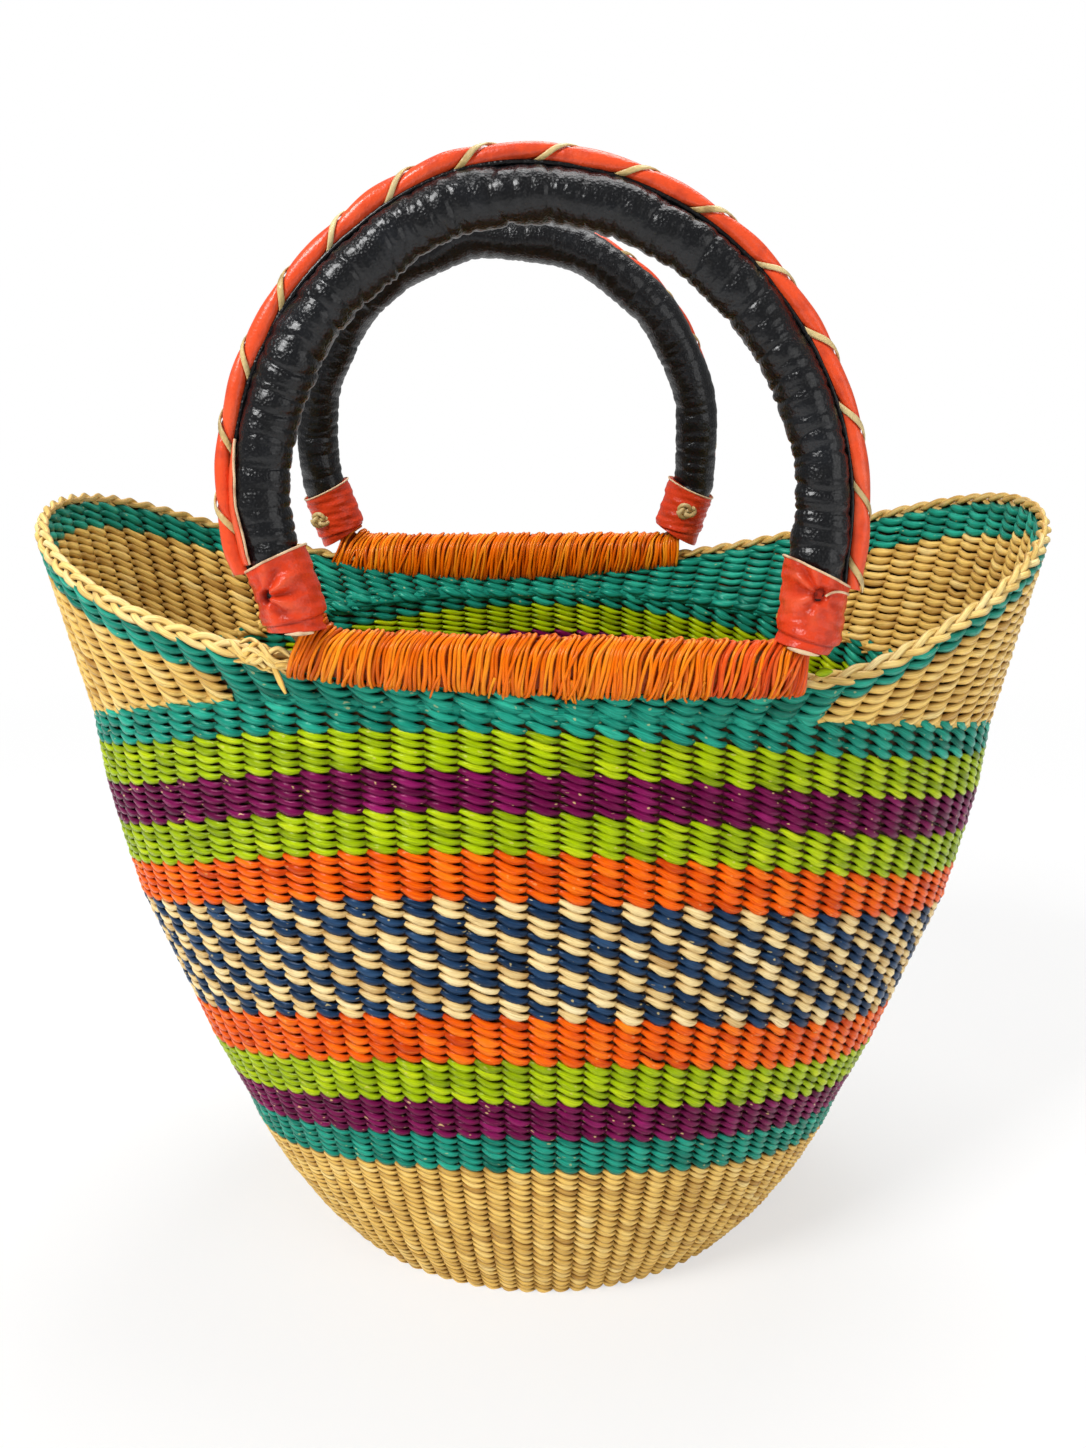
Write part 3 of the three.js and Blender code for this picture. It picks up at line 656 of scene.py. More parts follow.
# The rows run along the border; each stitch is teal or natural as a whole
steps = body["stepsPerColumn"]
crests = np.floor(np.arange(ringCount) / steps + 0.5).astype(int) * steps % ringCount
row = 0
while True:
    angles = blended(1 - rowDepth(row + 0.5, rimAngles) / (rimHeight(rimAngles) - levelTop(rimAngles)))
    shows = (rowDepth(row + upper["shownFrom"], angles) < collarRoom(angles))[crests]
    if not shows.any():
        break
    points, down, pitch = rowOf(collarSurface, row + 0.5, 1, angles)
    pitch = squarePitch(points, down, pitch)
    collar = np.clip(np.abs(np.cos(angles)) / 0.5, 0, 1)
    for strandSet, mask in masksOf(inGusset(row, angles)[crests], (np.cos(angles) > 0)[crests]):
        mask = mask & shows
        for shift in (-1, 1, -1, 1):
            mask = mask | np.roll(mask, shift)
        if mask.any():
            twine([strandSet] * 2, points, -down, pitch, row % 2, mask, collar)
    row += 1


# Plain strands behind the stitches, where the rows of the collar meet the level rows and the border; their tone of
# -0.3 is painted shade
def hiddenStrand(strandSet, mask, lift, inset, width, thickness):
    ring = collarPoint(levelTop(lowAngles) + lift, lowAngles, inset)
    up = unit(collarPoint(levelTop(lowAngles) + lift + 0.001, lowAngles, inset) - ring)
    thin = square(wayOf(ring, True), up)
    for part in spansOf(mask):
        strandSet.add(ring[part], up[part], thin[part], width, thickness, -0.3, closed=len(part) == len(ring))


natural = inGusset(collarRoom(lowAngles) / (upper["rowPitch"] * slopeShare(lowAngles)), lowAngles)
for inset in (upper["hiddenInset"], body["wallThickness"] - upper["hiddenInset"]):
    for strandSet, mask in masksOf(natural, np.cos(lowAngles) > 0):
        hiddenStrand(strandSet, mask, -upper["hiddenDrop"], inset, upper["hiddenWidth"], upper["hiddenThickness"])
back = upper["borderBack"]
lift = collarRise - back["drop"]
hiddenStrand(rimSet, np.ones(ringCount, bool), lift, rim["borderRadius"], back["width"], back["thickness"])
for end, strandSet in gussetSets.items():
    place(end + "_end_gusset_rows", strandSet, naturalGrass, "basket", end + "_end_gusset")
place("teal_rim_rows", rimSet, tealGrass, "basket", "teal_rim_band")
print("upper rows woven")

# Border: three strands plaited along the rim
border = {
    "cycles": 35, "steps": 30, "spread": 0.0021, "depth": 0.0012, "faceRise": 0.6,
    "strandWidth": 0.0028, "strandThickness": 0.002, "tones": 160, "toneMean": 0.25, "toneSpread": 0.4,
}
borderSet = StrandSet(8)
count = border["cycles"] * border["steps"]
points = rimPoint(evenAngles(rimPoint, count))
tangent = wayOf(points, True)
side = square(tangent, [0, 0, 1.0])
face = unit(side + border["faceRise"] * square(side, tangent))
along = square(face, tangent)
for strand in range(3):
    phase = 2 * math.pi * (np.arange(count) / border["steps"] + strand / 3)
    swing = along * (border["spread"] * np.sin(phase))[:, None]
    path = points + swing + face * (border["depth"] * np.sin(2 * phase))[:, None]
    way = wayOf(path, True)
    thin = square(way, square(face, way))
    wide = square(thin, way)
    spots = np.linspace(0, count, border["tones"])
    tones = np.clip(dice.normal(border["toneMean"], border["toneSpread"], border["tones"]), -1, 1)
    tone = np.interp(np.arange(count), spots, tones)
    borderSet.add(path, wide, thin, border["strandWidth"], border["strandThickness"], tone, closed=True)
place("braided_rim_strands", borderSet, borderGrass, "basket", "braided_rim_border")

# Stakes inside the wall
stakes = {"width": 0.0022, "thickness": 0.0014}
stakeSet = StrandSet(5)
ladder = np.stack(stakeRows)  # rows, points, xyz
for column in range(body["columns"]):
    path = ladder[:, column * body["stepsPerColumn"]]
    path = path[np.argsort(path[:, 2])]
    across = square(wayOf(path), unit(path * [1, 1, 0]))
    stakeSet.add(path, across, square(across, wayOf(path)), stakes["width"], stakes["thickness"], -0.3)
place("wall_stakes", stakeSet, naturalGrass, "basket")

# What fills the wall behind the stitches: the shaded backs of the strands
filling = {
    "inset": 0.0024, "thickness": 0.0012, "columns": 168,
    "collarShares": (0, 0.12, 0.25, 0.5, 0.75, 1),  # closer rings where the collar bends away from the level rows
}
angles = np.linspace(-math.pi / 2, 3 * math.pi / 2, filling["columns"], endpoint=False)


def fillingSide(inset):
    low = levelTop(angles)
    room = rimHeight(angles) - 0.1 * rim["borderRadius"] - low
    level = [wallPoint(value, angles, inset) for value in np.arange(0.12, topStation + 0.01, 0.5)]
    return level + [collarPoint(low + room * share, angles, inset) for share in filling["collarShares"]]


grid = np.stack(fillingSide(filling["inset"]) + fillingSide(filling["inset"] + filling["thickness"])[::-1])
tones = dice.uniform(-0.6, 0.6, grid.shape[:2])
place("wall_filling", skinMesh("wall_filling", grid, tones, True, 60), shadowGrass, "basket")
print("border, stakes and filling made")

# Base: the same twining on the flat, with fewer columns towards the middle
base = {"height": 0.003, "rowPitch": 0.0033, "steps": 6, "halfFrom": 0.55, "quarterFrom": 0.27}
baseLength, baseWidth = body["halfLength"] * stationShares[0, 0], body["halfWidth"] * stationShares[0, 1]


def baseSurface(share, angle):
    x, y = baseLength * share * np.cos(angle), baseWidth * share * np.sin(angle)
    return np.stack([x, y, base["height"] + 0 * angle], -1)


baseSet = StrandSet(5)
rowShare = base["rowPitch"] / baseWidth
share = 1 - rowShare
while share > rowShare:
    columns = body["columns"] // (1 if share > base["halfFrom"] else 2 if share > base["quarterFrom"] else 4)
    angles = np.linspace(-math.pi / 2, 3 * math.pi / 2, columns * base["steps"], endpoint=False)
    points, up, pitch = rowOf(baseSurface, share, rowShare, angles)
    twine([baseSet] * 2, points, up, pitch, rowNumber % 2, columns=columns)
    rowNumber += 1
    share -= rowShare
place("woven_base_rows", baseSet, naturalGrass, "basket", "woven_base")
print("base woven")

# Handles
handleShape = {
    "archRadius": 0.0945, "cornerRadius": 0.012, "legLength": 0.0323,
    "legLean": math.radians(8.4), "lean": math.radians(6),
    "coreRadius": 0.004, "strandClearance": 0.0006, "cuffLength": 0.025, "cuffStartShare": 0.735,
}
# Bulge: turn round the arch in degrees from its right-hand side, and how far the line stands out there
handles = {
    "front": {
        "side": -1, "shift": handleSpots["front"], "leanShare": -0.075,
        "gripRadius": 0.0095, "pipingTurn": 0, "pleatShare": 1,
        "bulge": [(-24, 0), (-12, -0.0006), (0, -0.0008), (35, -0.0013), (55, -0.0004), (95, -0.0005), (105, -0.0012),
                  (115, -0.0026), (125, -0.004), (135, -0.0041), (145, -0.0036), (155, -0.0027), (165, -0.0013),
                  (175, 0.0002), (185, 0.0022), (194, 0.0022), (204, 0)],
    },
    "back": {
        "side": 1, "shift": handleSpots["back"], "leanShare": -0.01,
        "gripRadius": 0.0105, "pipingTurn": 0.95, "pleatShare": 0.55,
        "bulge": [(-26, 0), (-14, 0.0034), (-4, 0.0026), (30, 0.002), (150, 0.002), (184, 0.0026), (194, 0.0034),
                  (206, 0)],
    },
}
archRadius, bend, legLength = (handleShape[key] for key in ("archRadius", "cornerRadius", "legLength"))
cosLean, sinLean = math.cos(handleShape["legLean"]), math.sin(handleShape["legLean"])
barHalf = archRadius * cosLean - legLength * sinLean - bend * cosLean
archHeight = bend * (1 - sinLean) + legLength * cosLean + archRadius * sinLean
cornerTurn = math.pi / 2 - handleShape["legLean"]
cornerLength = bend * cornerTurn
legStart = barHalf + cornerLength
archStart = legStart + legLength
hoopLength = 2 * archStart + (math.pi + 2 * handleShape["legLean"]) * archRadius
cuffStart = barHalf + handleShape["cuffStartShare"] * cornerLength
cuffEnd = cuffStart + handleShape["cuffLength"]


# Places along the hoop, from the middle of the bar, with the direction out of the hoop
def hoopSide(distance):
    turned = distance > hoopLength / 2
    along = np.where(turned, hoopLength - distance, distance)
    corner = np.clip((along - barHalf) / bend, 0, cornerTurn)
    arch = (along - archStart) / archRadius - handleShape["legLean"]
    onArch = along > archStart
    outX = np.where(onArch, np.cos(arch), np.sin(corner))
    outZ = np.where(onArch, np.sin(arch), -np.cos(corner))
    climb = np.clip(along - legStart, 0, legLength)
    x = np.where(onArch, archRadius * outX, np.minimum(along, barHalf) + bend * np.sin(corner) + climb * sinLean)
    z = np.where(onArch, archHeight + archRadius * outZ, bend * (1 - np.cos(corner)) + climb * cosLean)
    flip = np.where(turned, -1, 1)
    return x * flip, z, outX * flip, outZ


# How far a handle's line stands out of the plain hoop there
def bulgeAt(spec, distance):
    turns, bulges = np.array(spec["bulge"]).T
    turn = np.degrees((distance - archStart) / archRadius - handleShape["legLean"])
    return np.interp(turn, turns, bulges)


# Border's height under a handle's bar, and so where the bar rests
def barRest(spec):
    spread = np.linspace(math.pi, 2 * math.pi, 721) if spec["side"] < 0 else np.linspace(math.pi, 0, 721)
    line = rimPoint(spread)
    left, right = (np.interp(spec["shift"] + s * barHalf, line[:, 0], plainRim(spread)) for s in (-1, 1))
    height = (left + right) / 2 + rim["borderRadius"] + handleShape["coreRadius"] + handleShape["strandClearance"]
    return math.atan2(left - right, 2 * barHalf), height, line


def toWorld(spec, local):
    slope, height, _ = barRest(spec)
    lean = spec["side"] * handleShape["lean"]
    x = local[..., 0] + spec["leanShare"] * local[..., 2]
    y = local[..., 1] * math.cos(lean) - local[..., 2] * math.sin(lean)
    z = local[..., 1] * math.sin(lean) + local[..., 2] * math.cos(lean)
    worldX = x * math.cos(slope) + z * math.sin(slope) + spec["shift"]
    worldZ = z * math.cos(slope) - x * math.sin(slope) + height
    return np.stack([worldX, y + spec["side"] * (rim["halfWidth"] - rim["borderRadius"]), worldZ], -1)


# A point beside the hoop: around turns from the outer side of the hoop towards +Y
def besideHoop(spec, distance, around, reach, outward=(0, 0)):
    x, z, outX, outZ = hoopSide(distance)
    middle, sideways = outward
    out = bulgeAt(spec, distance) + middle + reach * np.cos(around)
    local = np.stack([x + outX * out, sideways + reach * np.sin(around) + 0 * x, z + outZ * out], -1)
    return toWorld(spec, local)


# Leather wrap: pleated across, most of all along the inside of the hoop
pleats = {
    "coarse": {"spacing": 0.0051, "depth": 0.00115, "width": 0.0012, "outerShare": 0.6},
    "fine": {"spacing": 0.0024, "depth": 0.0004, "width": 0.00055, "outerShare": 0.8},
    "lump": 0.00035, "lumpWaves": 7, "lumpBeats": (60, 260), "rowStep": 0.0007, "sides": 48,
}


def leatherWrap(label, spec):
    start, end = legStart, hoopLength - legStart
    rows = int((end - start) / pleats["rowStep"])
    distance = np.linspace(start, end, rows)[:, None]
    around = turnsOf(pleats["sides"])[None, :]
    inside = (1 - np.cos(around)) / 2
    radius = np.full((rows, pleats["sides"]), spec["gripRadius"])
    for size in ("coarse", "fine"):
        fold = pleats[size]
        centre = start
        while centre < end:
            width = fold["width"] * dice.uniform(0.7, 1.4)
            depth = fold["depth"] * dice.uniform(0.35, 1.2) * spec["pleatShare"]
            skew = fold["spacing"] * dice.uniform(-0.7, 0.7)
            bow = fold["spacing"] * dice.uniform(-0.45, 0.45)
            middle = centre + skew * np.sin(around) + bow * np.cos(2 * around)
            reach = fold["outerShare"] + (1 - fold["outerShare"]) * inside ** 1.5
            fade = 0.5 + 0.5 * np.sin(around * dice.integers(1, 3) + dice.uniform(0, 6.3))
            reach = reach * (1 - fade * dice.uniform(0.1, 0.75))
            radius = radius - depth * reach * np.exp(-np.abs((distance - middle) / width) ** 1.4)
            centre += fold["spacing"] * dice.uniform(0.6, 1.4)
    for _ in range(pleats["lumpWaves"]):
        beat = dice.uniform(*pleats["lumpBeats"])
        lump = pleats["lump"] * dice.uniform(0.3, 1) * np.sin(beat * distance + dice.uniform(0, 6.3))
        radius = radius + lump * np.cos(dice.integers(1, 4) * around + dice.uniform(0, 6.3))
    name = label + "_leather_sleeve"
    grid = besideHoop(spec, distance, around, radius)
    place(name, skinMesh(name, grid), blackLeather, label + "_handle", label + "_leather_wrap")


# Piping, the welt under it, its loose flap and the thong laced round it
piping = {
    "offset": 0.0034,  # from the leather wrap's surface to the middle of the piping
    "half": 0.003, "rows": 600, "sides": 24, "groove": 0.0009, "swell": 0.0005,
    "underCuff": 0.004,  # how far it reaches in under the cuffs
    "weltWidth": 0.0052, "weltThickness": 0.0024, "weltRise": 0.0001,
    "thongRise": 0.00025, "thongTurns": 15, "thongWidth": 0.0021, "thongThickness": 0.0009, "thongTones": 40,
    "flapLength": 0.042, "flapWidth": 0.0062, "flapThickness": 0.0012, "flapTurn": -0.46, "flapRise": 0.0011,
    "edgeTurn": 0.34, "edgeRise": 0.0012, "edgeWidth": 0.0008, "edgeThickness": 0.001,
}


# A flat strip along the hoop, from its distances, turns round the hoop and reach
def hoopStrip(strandSet, spec, distance, turn, reach, width, thickness, tone=0.0):
    path = besideHoop(spec, distance, turn, reach)
    way = wayOf(path)
    thin = unit(path - besideHoop(spec, distance, turn, 0))
    thin = unit(thin - way * (thin * way).sum(1, keepdims=True))
    strandSet.addFlat(path, thin, width, thickness, tone)


def pipingAndThong(label, spec):
    rides, grip, thongTurns = label + "_handle", spec["gripRadius"], piping["thongTurns"]
    start, end = cuffEnd - piping["underCuff"], hoopLength - cuffEnd + piping["underCuff"]
    apart = grip + piping["offset"]
    offset = (apart * math.cos(spec["pipingTurn"]), apart * math.sin(spec["pipingTurn"]))
    distance = np.linspace(start, end, piping["rows"])[:, None]
    around = turnsOf(piping["sides"])[None, :]
    beside = np.cos(2 * math.pi * ((distance - start) / (end - start) * thongTurns) + around)
    swell = piping["swell"] * (1 - beside) / 2 - piping["groove"] * np.exp(9 * (beside - 1))
    wobble = 0.0002 * np.sin(distance * 210 + 2 * around) + 0.00015 * np.sin(distance * 95 + 1.3)
    name = label + "_piping_roll"
    grid = besideHoop(spec, distance, around, piping["half"] + swell + wobble, offset)
    place(name, skinMesh(name, grid), redPiping, rides, label + "_red_piping")
    welt = StrandSet()
    s = np.linspace(start, end, 300)
    turn = 0 * s + spec["pipingTurn"]
    # the welt's tone of -0.5 is painted shade under the piping
    hoopStrip(welt, spec, s, turn, grip + piping["weltRise"], piping["weltWidth"], piping["weltThickness"], -0.5)
    place(label + "_welt", welt, blackLeather, rides)
    if label == "front":
        # the loose end of the piping leather, flat beside the left leg, with its pale edge
        flap, edge = StrandSet(8), StrandSet()
        s = np.linspace(end - piping["flapLength"], end - 0.003, 60)
        share = np.clip((s - s[0]) / 0.012, 0.15, 1)
        turn = piping["flapTurn"] + 0.05 * np.sin(s * 190)
        width, reach = piping["flapWidth"] * share, grip + piping["flapRise"]
        hoopStrip(flap, spec, s, turn, reach, width, piping["flapThickness"], 0.2)
        place("front_piping_flap", flap, redPiping, rides)
        turn, reach = turn - piping["edgeTurn"] * share, grip + piping["edgeRise"]
        hoopStrip(edge, spec, s, turn, reach, piping["edgeWidth"], piping["edgeThickness"])
        place("front_flap_edge", edge, cutEdge, rides)
    thong = StrandSet(8)
    steps = thongTurns * 24
    s = np.linspace(start, end, steps)
    turn = -(s - start) / (end - start) * thongTurns * 2 * math.pi
    path = besideHoop(spec, s, turn, piping["half"] + piping["thongRise"], offset)
    thin = unit(path - besideHoop(spec, s, turn, 0, offset))
    spots = np.linspace(0, steps, piping["thongTones"])
    tone = np.interp(np.arange(steps), spots, dice.uniform(-0.5, 0.7, piping["thongTones"]))
    width = piping["thongWidth"] * (1 + 0.1 * np.sin(s * 170))
    thong.addFlat(path, thin, width, piping["thongThickness"], tone)
    place(label + "_thong_lace", thong, rawhide, rides, label + "_lacing_thong")


# Cuffs: a strap of red leather wrapped round the foot, its end tucked into a slit
cuff = {
    "cover": 0.0009,  # over the leather wrap
    "slant": 0.007, "flare": 0.0008, "upright": 1.15, "rows": 72, "sides": 112,
    "drop": 0.0019,  # the right front cuff hangs lower at its outer side
    "fold": 0.0011, "pit": 0.0046, "hem": 0.15, "hemStep": 0.001,
    "pits": {"left": (-1.0, 0.56), "right": (-1.6, 0.72)},  # turn from the outer side, and share of the length
    "fanAt": 0.007, "fanWidth": 0.0055,  # folds, by their distance from the slit
    "slitHalf": 0.0019, "lip": 0.0004, "lipAt": 0.0034, "lipWidth": 0.0011,
    "lining": 0.0006,     # how far the inner face lies under the surface of the wrap
    "curlStep": 0.0006, "curlTurn": 1.6,
    "edgeWidth": 0.0009, "edgeThickness": 0.0007,
}


def sideOf(hand):
    return "right" if hand > 0 else "left"


# A point of a cuff: its rings turn less than the hoop does, so that the lower edge lies level
def cuffPoint(spec, hand, share, around, radius):
    shift = share * handleShape["cuffLength"] - cuff["slant"] / 2 * share * np.cos(around)
    if spec["side"] < 0 < hand:
        shift = shift - cuff["drop"] * (1 - share) * (1.4 + np.cos(around))
    distance = cuffStart + shift if hand > 0 else hoopLength - cuffStart - shift
    x, z, outX, outZ = hoopSide(distance)
    upright = cuff["upright"] if spec["side"] < 0 else 0
    outX = outX * (1 - upright) + hand * cosLean * upright
    outZ = outZ * (1 - upright) - sinLean * upright
    long = np.sqrt(outX ** 2 + outZ ** 2)
    across = radius * np.cos(around) + bulgeAt(spec, distance)
    local = np.stack([x + outX / long * across, radius * np.sin(around) + 0 * x, z + outZ / long * across], -1)
    return toWorld(spec, local)


def cuffSleeve(label, spec, hand):
    name = f"{label}_{sideOf(hand)}_cuff"
    share = np.linspace(0, 1, cuff["rows"])[:, None]
    around = turnsOf(cuff["sides"])[None, :]
    snug = spec["gripRadius"] + cuff["cover"]
    # the outer side is 0, the side that faces -Y is -90 degrees
    facing = 1 if label == "front" else -1
    pitTurn, pitShare = cuff["pits"][sideOf(hand)]
    off = (around - pitTurn * facing + 3 * math.pi) % (2 * math.pi) - math.pi
    sideways, upwards = off * snug, (share - pitShare) * handleShape["cuffLength"]
    away = np.sqrt(sideways ** 2 + upwards ** 2)
    spoke = np.arctan2(upwards, sideways * facing)
    # folds run from the slit to the far side, where the strap was pulled through
    fan = np.sin(7 * spoke + 0.6) * np.exp(-((away - cuff["fanAt"]) / cuff["fanWidth"]) ** 2)
    fan = fan * np.clip(0.35 - np.cos(spoke), 0.15, 1)
    waves = 0.00022 * np.sin(24 * share + 2 * around + 1.5) + 0.00012 * np.sin(47 * share - 3 * around)
    slit = upwards + 0.5 * sideways * facing * (-hand)
    pit = np.exp(-((sideways / cuff["slitHalf"]) ** 2 + (slit / cuff["slitHalf"]) ** 2) ** 1.5)
    lip = cuff["lip"] * np.exp(-((away - cuff["lipAt"]) / cuff["lipWidth"]) ** 2)
    hemLine = cuff["hem"] + 0.03 * np.sin(around + hand)
    layer = cuff["hemStep"] * np.clip((share - hemLine) / 0.02, 0, 1)
    radius = snug + layer + cuff["fold"] * fan + waves + lip - cuff["pit"] * pit + cuff["flare"] * (share - 0.5) ** 2
    if hand > 0:
        # the upper layer of the strap ends in an edge that curls down into the slit
        curled = np.clip((share - curlShare(around * facing)) / 0.04, -1, 0)
        radius = radius + cuff["curlStep"] * curled * (np.abs(off) < cuff["curlTurn"])
    outer = cuffPoint(spec, hand, share, around, radius)
    inner = cuffPoint(spec, hand, share, around, 0 * radius + spec["gripRadius"] - cuff["lining"])[::-1]
    # painted shade and light in the tones: dark in the slit's pit and just under the hem's step, lighter on the folds'
    # ridges and darker in their troughs, and dark on the inner face
    hemShade = np.exp(-((share - hemLine + 0.01) / 0.012) ** 2)
    tones = -1.0 * np.clip(pit * 2.2, 0, 1) + 0.35 * np.clip(fan, -1, 1) - 0.6 * hemShade
    tones = np.concatenate([tones, 0 * pit - 0.5])
    strap = skinMesh(name + "_strap", np.concatenate([outer, inner]), tones, True)
    place(name + "_strap", strap, redLeather, label + "_handle", name)
    edge = StrandSet()

    def edgeLine(lineShare, turn, reach, width, thickness, closed=False):
        path = cuffPoint(spec, hand, lineShare, turn, reach)
        out = unit(path - cuffPoint(spec, hand, lineShare, turn, 0 * reach))
        edge.addFlat(path, out, width, thickness, 0, closed)

    # pale cut edges: round the top, at part of the hem and along the curl of the right cuffs
    edgeLine(np.ones(cuff["sides"]), around[0], radius[-1], cuff["edgeWidth"], 0.0008, True)
    turn = np.linspace(*((-2.2, -1.2) if hand < 0 else (-2.3, -1.0)), 24) * facing
    sliver = 0.0004 + 0.0013 * np.sin(np.linspace(0.3, math.pi, 24))
    edgeLine(np.full(24, -0.02), turn, np.full(24, snug - 0.0004), sliver, cuff["edgeThickness"])
    if hand > 0:
        turn, reach = np.linspace(0.1, -1.45, 40), np.full(40, snug + cuff["hemStep"])
        edgeLine(curlShare(turn), turn * facing, reach, cuff["edgeWidth"], cuff["edgeThickness"])
    place(name + "_cut_edge", edge, cutEdge, label + "_handle")


# Height share of the curling edge over the turn, from the outer side to the slit
def curlShare(turn):
    part = np.clip((0.1 - turn) / 1.55, 0, 1)
    return 0.9 - 0.16 * part ** 5


# Toggle knots on the inner faces of the cuffs
toggle = {
    "width": 0.009, "height": 0.007, "thickness": 0.004,
    "thong": 0.0024, "thongThickness": 0.0012, "cover": 0.0026, "tailWidth": 0.0022, "tailThickness": 0.001,
    "left": (0.5, -1.05), "right": (0.6, -1.6),  # share of the cuff's length, and turn from the outer side
    "tails": (0.5, 3.4),  # directions of the two ends
}


def toggleKnot(label, spec, hand):
    name = f"{label}_{sideOf(hand)}_toggle_knot"
    share, turn = toggle[sideOf(hand)]
    middle = cuffPoint(spec, hand, share, spec["side"] * turn, spec["gripRadius"] + toggle["cover"])
    turn = np.linspace(0, 2 * math.pi, 64, endpoint=False)
    wave = 0.34 * (1 + 0.42 * np.cos(3 * turn))
    path = np.stack([wave * np.cos(2 * turn) * toggle["width"],
                     0.3 * toggle["thickness"] * np.sin(3 * turn),
                     wave * np.sin(2 * turn) * toggle["height"]], -1) + middle
    way = wayOf(path, True)
    thin = square(way, square([0, 1.0, 0], way))
    tone = 0.3 * np.sin(5 * turn)
    knot = StrandSet()
    knot.add(path, square(thin, way), thin, toggle["thong"], toggle["thongThickness"], tone, closed=True)
    for angle in toggle["tails"]:
        tail = np.linspace(0, 1, 10)[:, None]
        tip = np.array([math.cos(angle) * 0.0052, 0, math.sin(angle) * 0.003])
        line = middle + tail * tip + np.array([0, -spec["side"] * 0.0006, 0]) * np.sin(tail * 3)
        wide = square([0, 1.0, 0], wayOf(line))
        knot.add(line, wide, np.tile([0, 1.0, 0], (10, 1)), toggle["tailWidth"], toggle["tailThickness"], 0.2)
    place(name + "_thong", knot, rawhide, label + "_handle", name)


# Grass padding inside the leather
filler = {"strands": 14, "rows": 90, "inset": 0.0037, "width": 0.0026, "thickness": 0.0022}


def padding(label, spec):
    fill = StrandSet(5)
    s = np.linspace(legStart, hoopLength - legStart, filler["rows"])
    for number in range(filler["strands"]):
        turn = number * 2 * math.pi / filler["strands"] + 0.25 * np.sin(s * 40 + number)
        path = besideHoop(spec, s, turn, spec["gripRadius"] - filler["inset"])
        thin = unit(path - besideHoop(spec, s, turn, 0))
        fill.addFlat(path, thin, filler["width"], filler["thickness"], dice.uniform(-0.4, 0.4))
    place(label + "_padding_strands", fill, naturalGrass, label + "_handle", label + "_grass_padding")


for label, spec in handles.items():
    leatherWrap(label, spec)
    pipingAndThong(label, spec)
    padding(label, spec)
    for hand in (-1, 1):
        cuffSleeve(label, spec, hand)
        toggleKnot(label, spec, hand)
print("handles made")

# Lashings: close turns of orange grass round the bar and the border
lashing = {
    "spacing": 0.0016, "width": 0.0017, "thickness": 0.0017, "steps": 30,
    "barReach": 0.005, "borderReach": 0.0042, "depth": 0.0056, "endShare": 0.8, "crossing": 30, "crossingLift": 0.0013,
    "looseEnds": 14, "looseSteps": 12, "looseWidth": 0.0014, "looseThickness": 0.0006, "spreadShare": 0.95,
    "lean": 0.0014, "leftLean": 0.004, "rightLean": -0.002, "leanLength": 0.024, "leanWaves": 26,
    "drift": 0.0007, "leanSpread": 0.0003, "placeSpread": 0.0002, "liftMost": 0.0009,
    "looseLift": 0.0008, "toneSpread": 0.42, "waviness": 0.00035, "topCurl": 0.0034,
    "underTurns": 90, "underSides": 24, "underDepth": 0.0006,
    "reddish": (0.054, 0.11), "reddishShare": 0.72,  # stretch of reddish strands on the front, along X
}


# Point of a line of points at an x
def seatAt(line, x):
    return np.stack([np.interp(x, line[:, 0], line[:, axis]) for axis in range(3)], -1)


def lashingRing(spec, line, s, steps, lift, lean, turnStart=0.0, sweep=2 * math.pi, wave=0.0):
    x, z, _, _ = hoopSide(np.array(abs(s)))
    hub = toWorld(spec, np.array([float(x) * np.sign(s), 0, float(z)]))
    seat = seatAt(line, hub[0])
    turn = turnStart + np.arange(steps) / steps * sweep
    high, low = hub + [0, 0, lashing["barReach"]], seat - [0, 0, lashing["borderReach"]]
    middle, tall = (high + low) / 2, (high[2] - low[2]) / 2 + lift
    out = np.stack([0 * turn, spec["side"] * np.cos(turn), np.sin(turn)], -1)
    ring = middle + out * np.stack([0 * turn, 0 * turn + lashing["depth"] + lift, 0 * turn + tall], -1)
    # the oval follows the bar and the border, which don't stand plumb over each other
    ring[:, 1] += (hub[1] - seat[1]) / 2 * np.sin(turn)
    ring[:, 0] += lean * np.sin(turn) + lashing["waviness"] * np.sin(3 * turn + wave)
    ring[:, 0] += lashing["topCurl"] * np.clip(np.sin(turn), 0, 1) ** 4
    normal = unit(out * [1, tall, lashing["depth"] + lift])
    return ring, normal


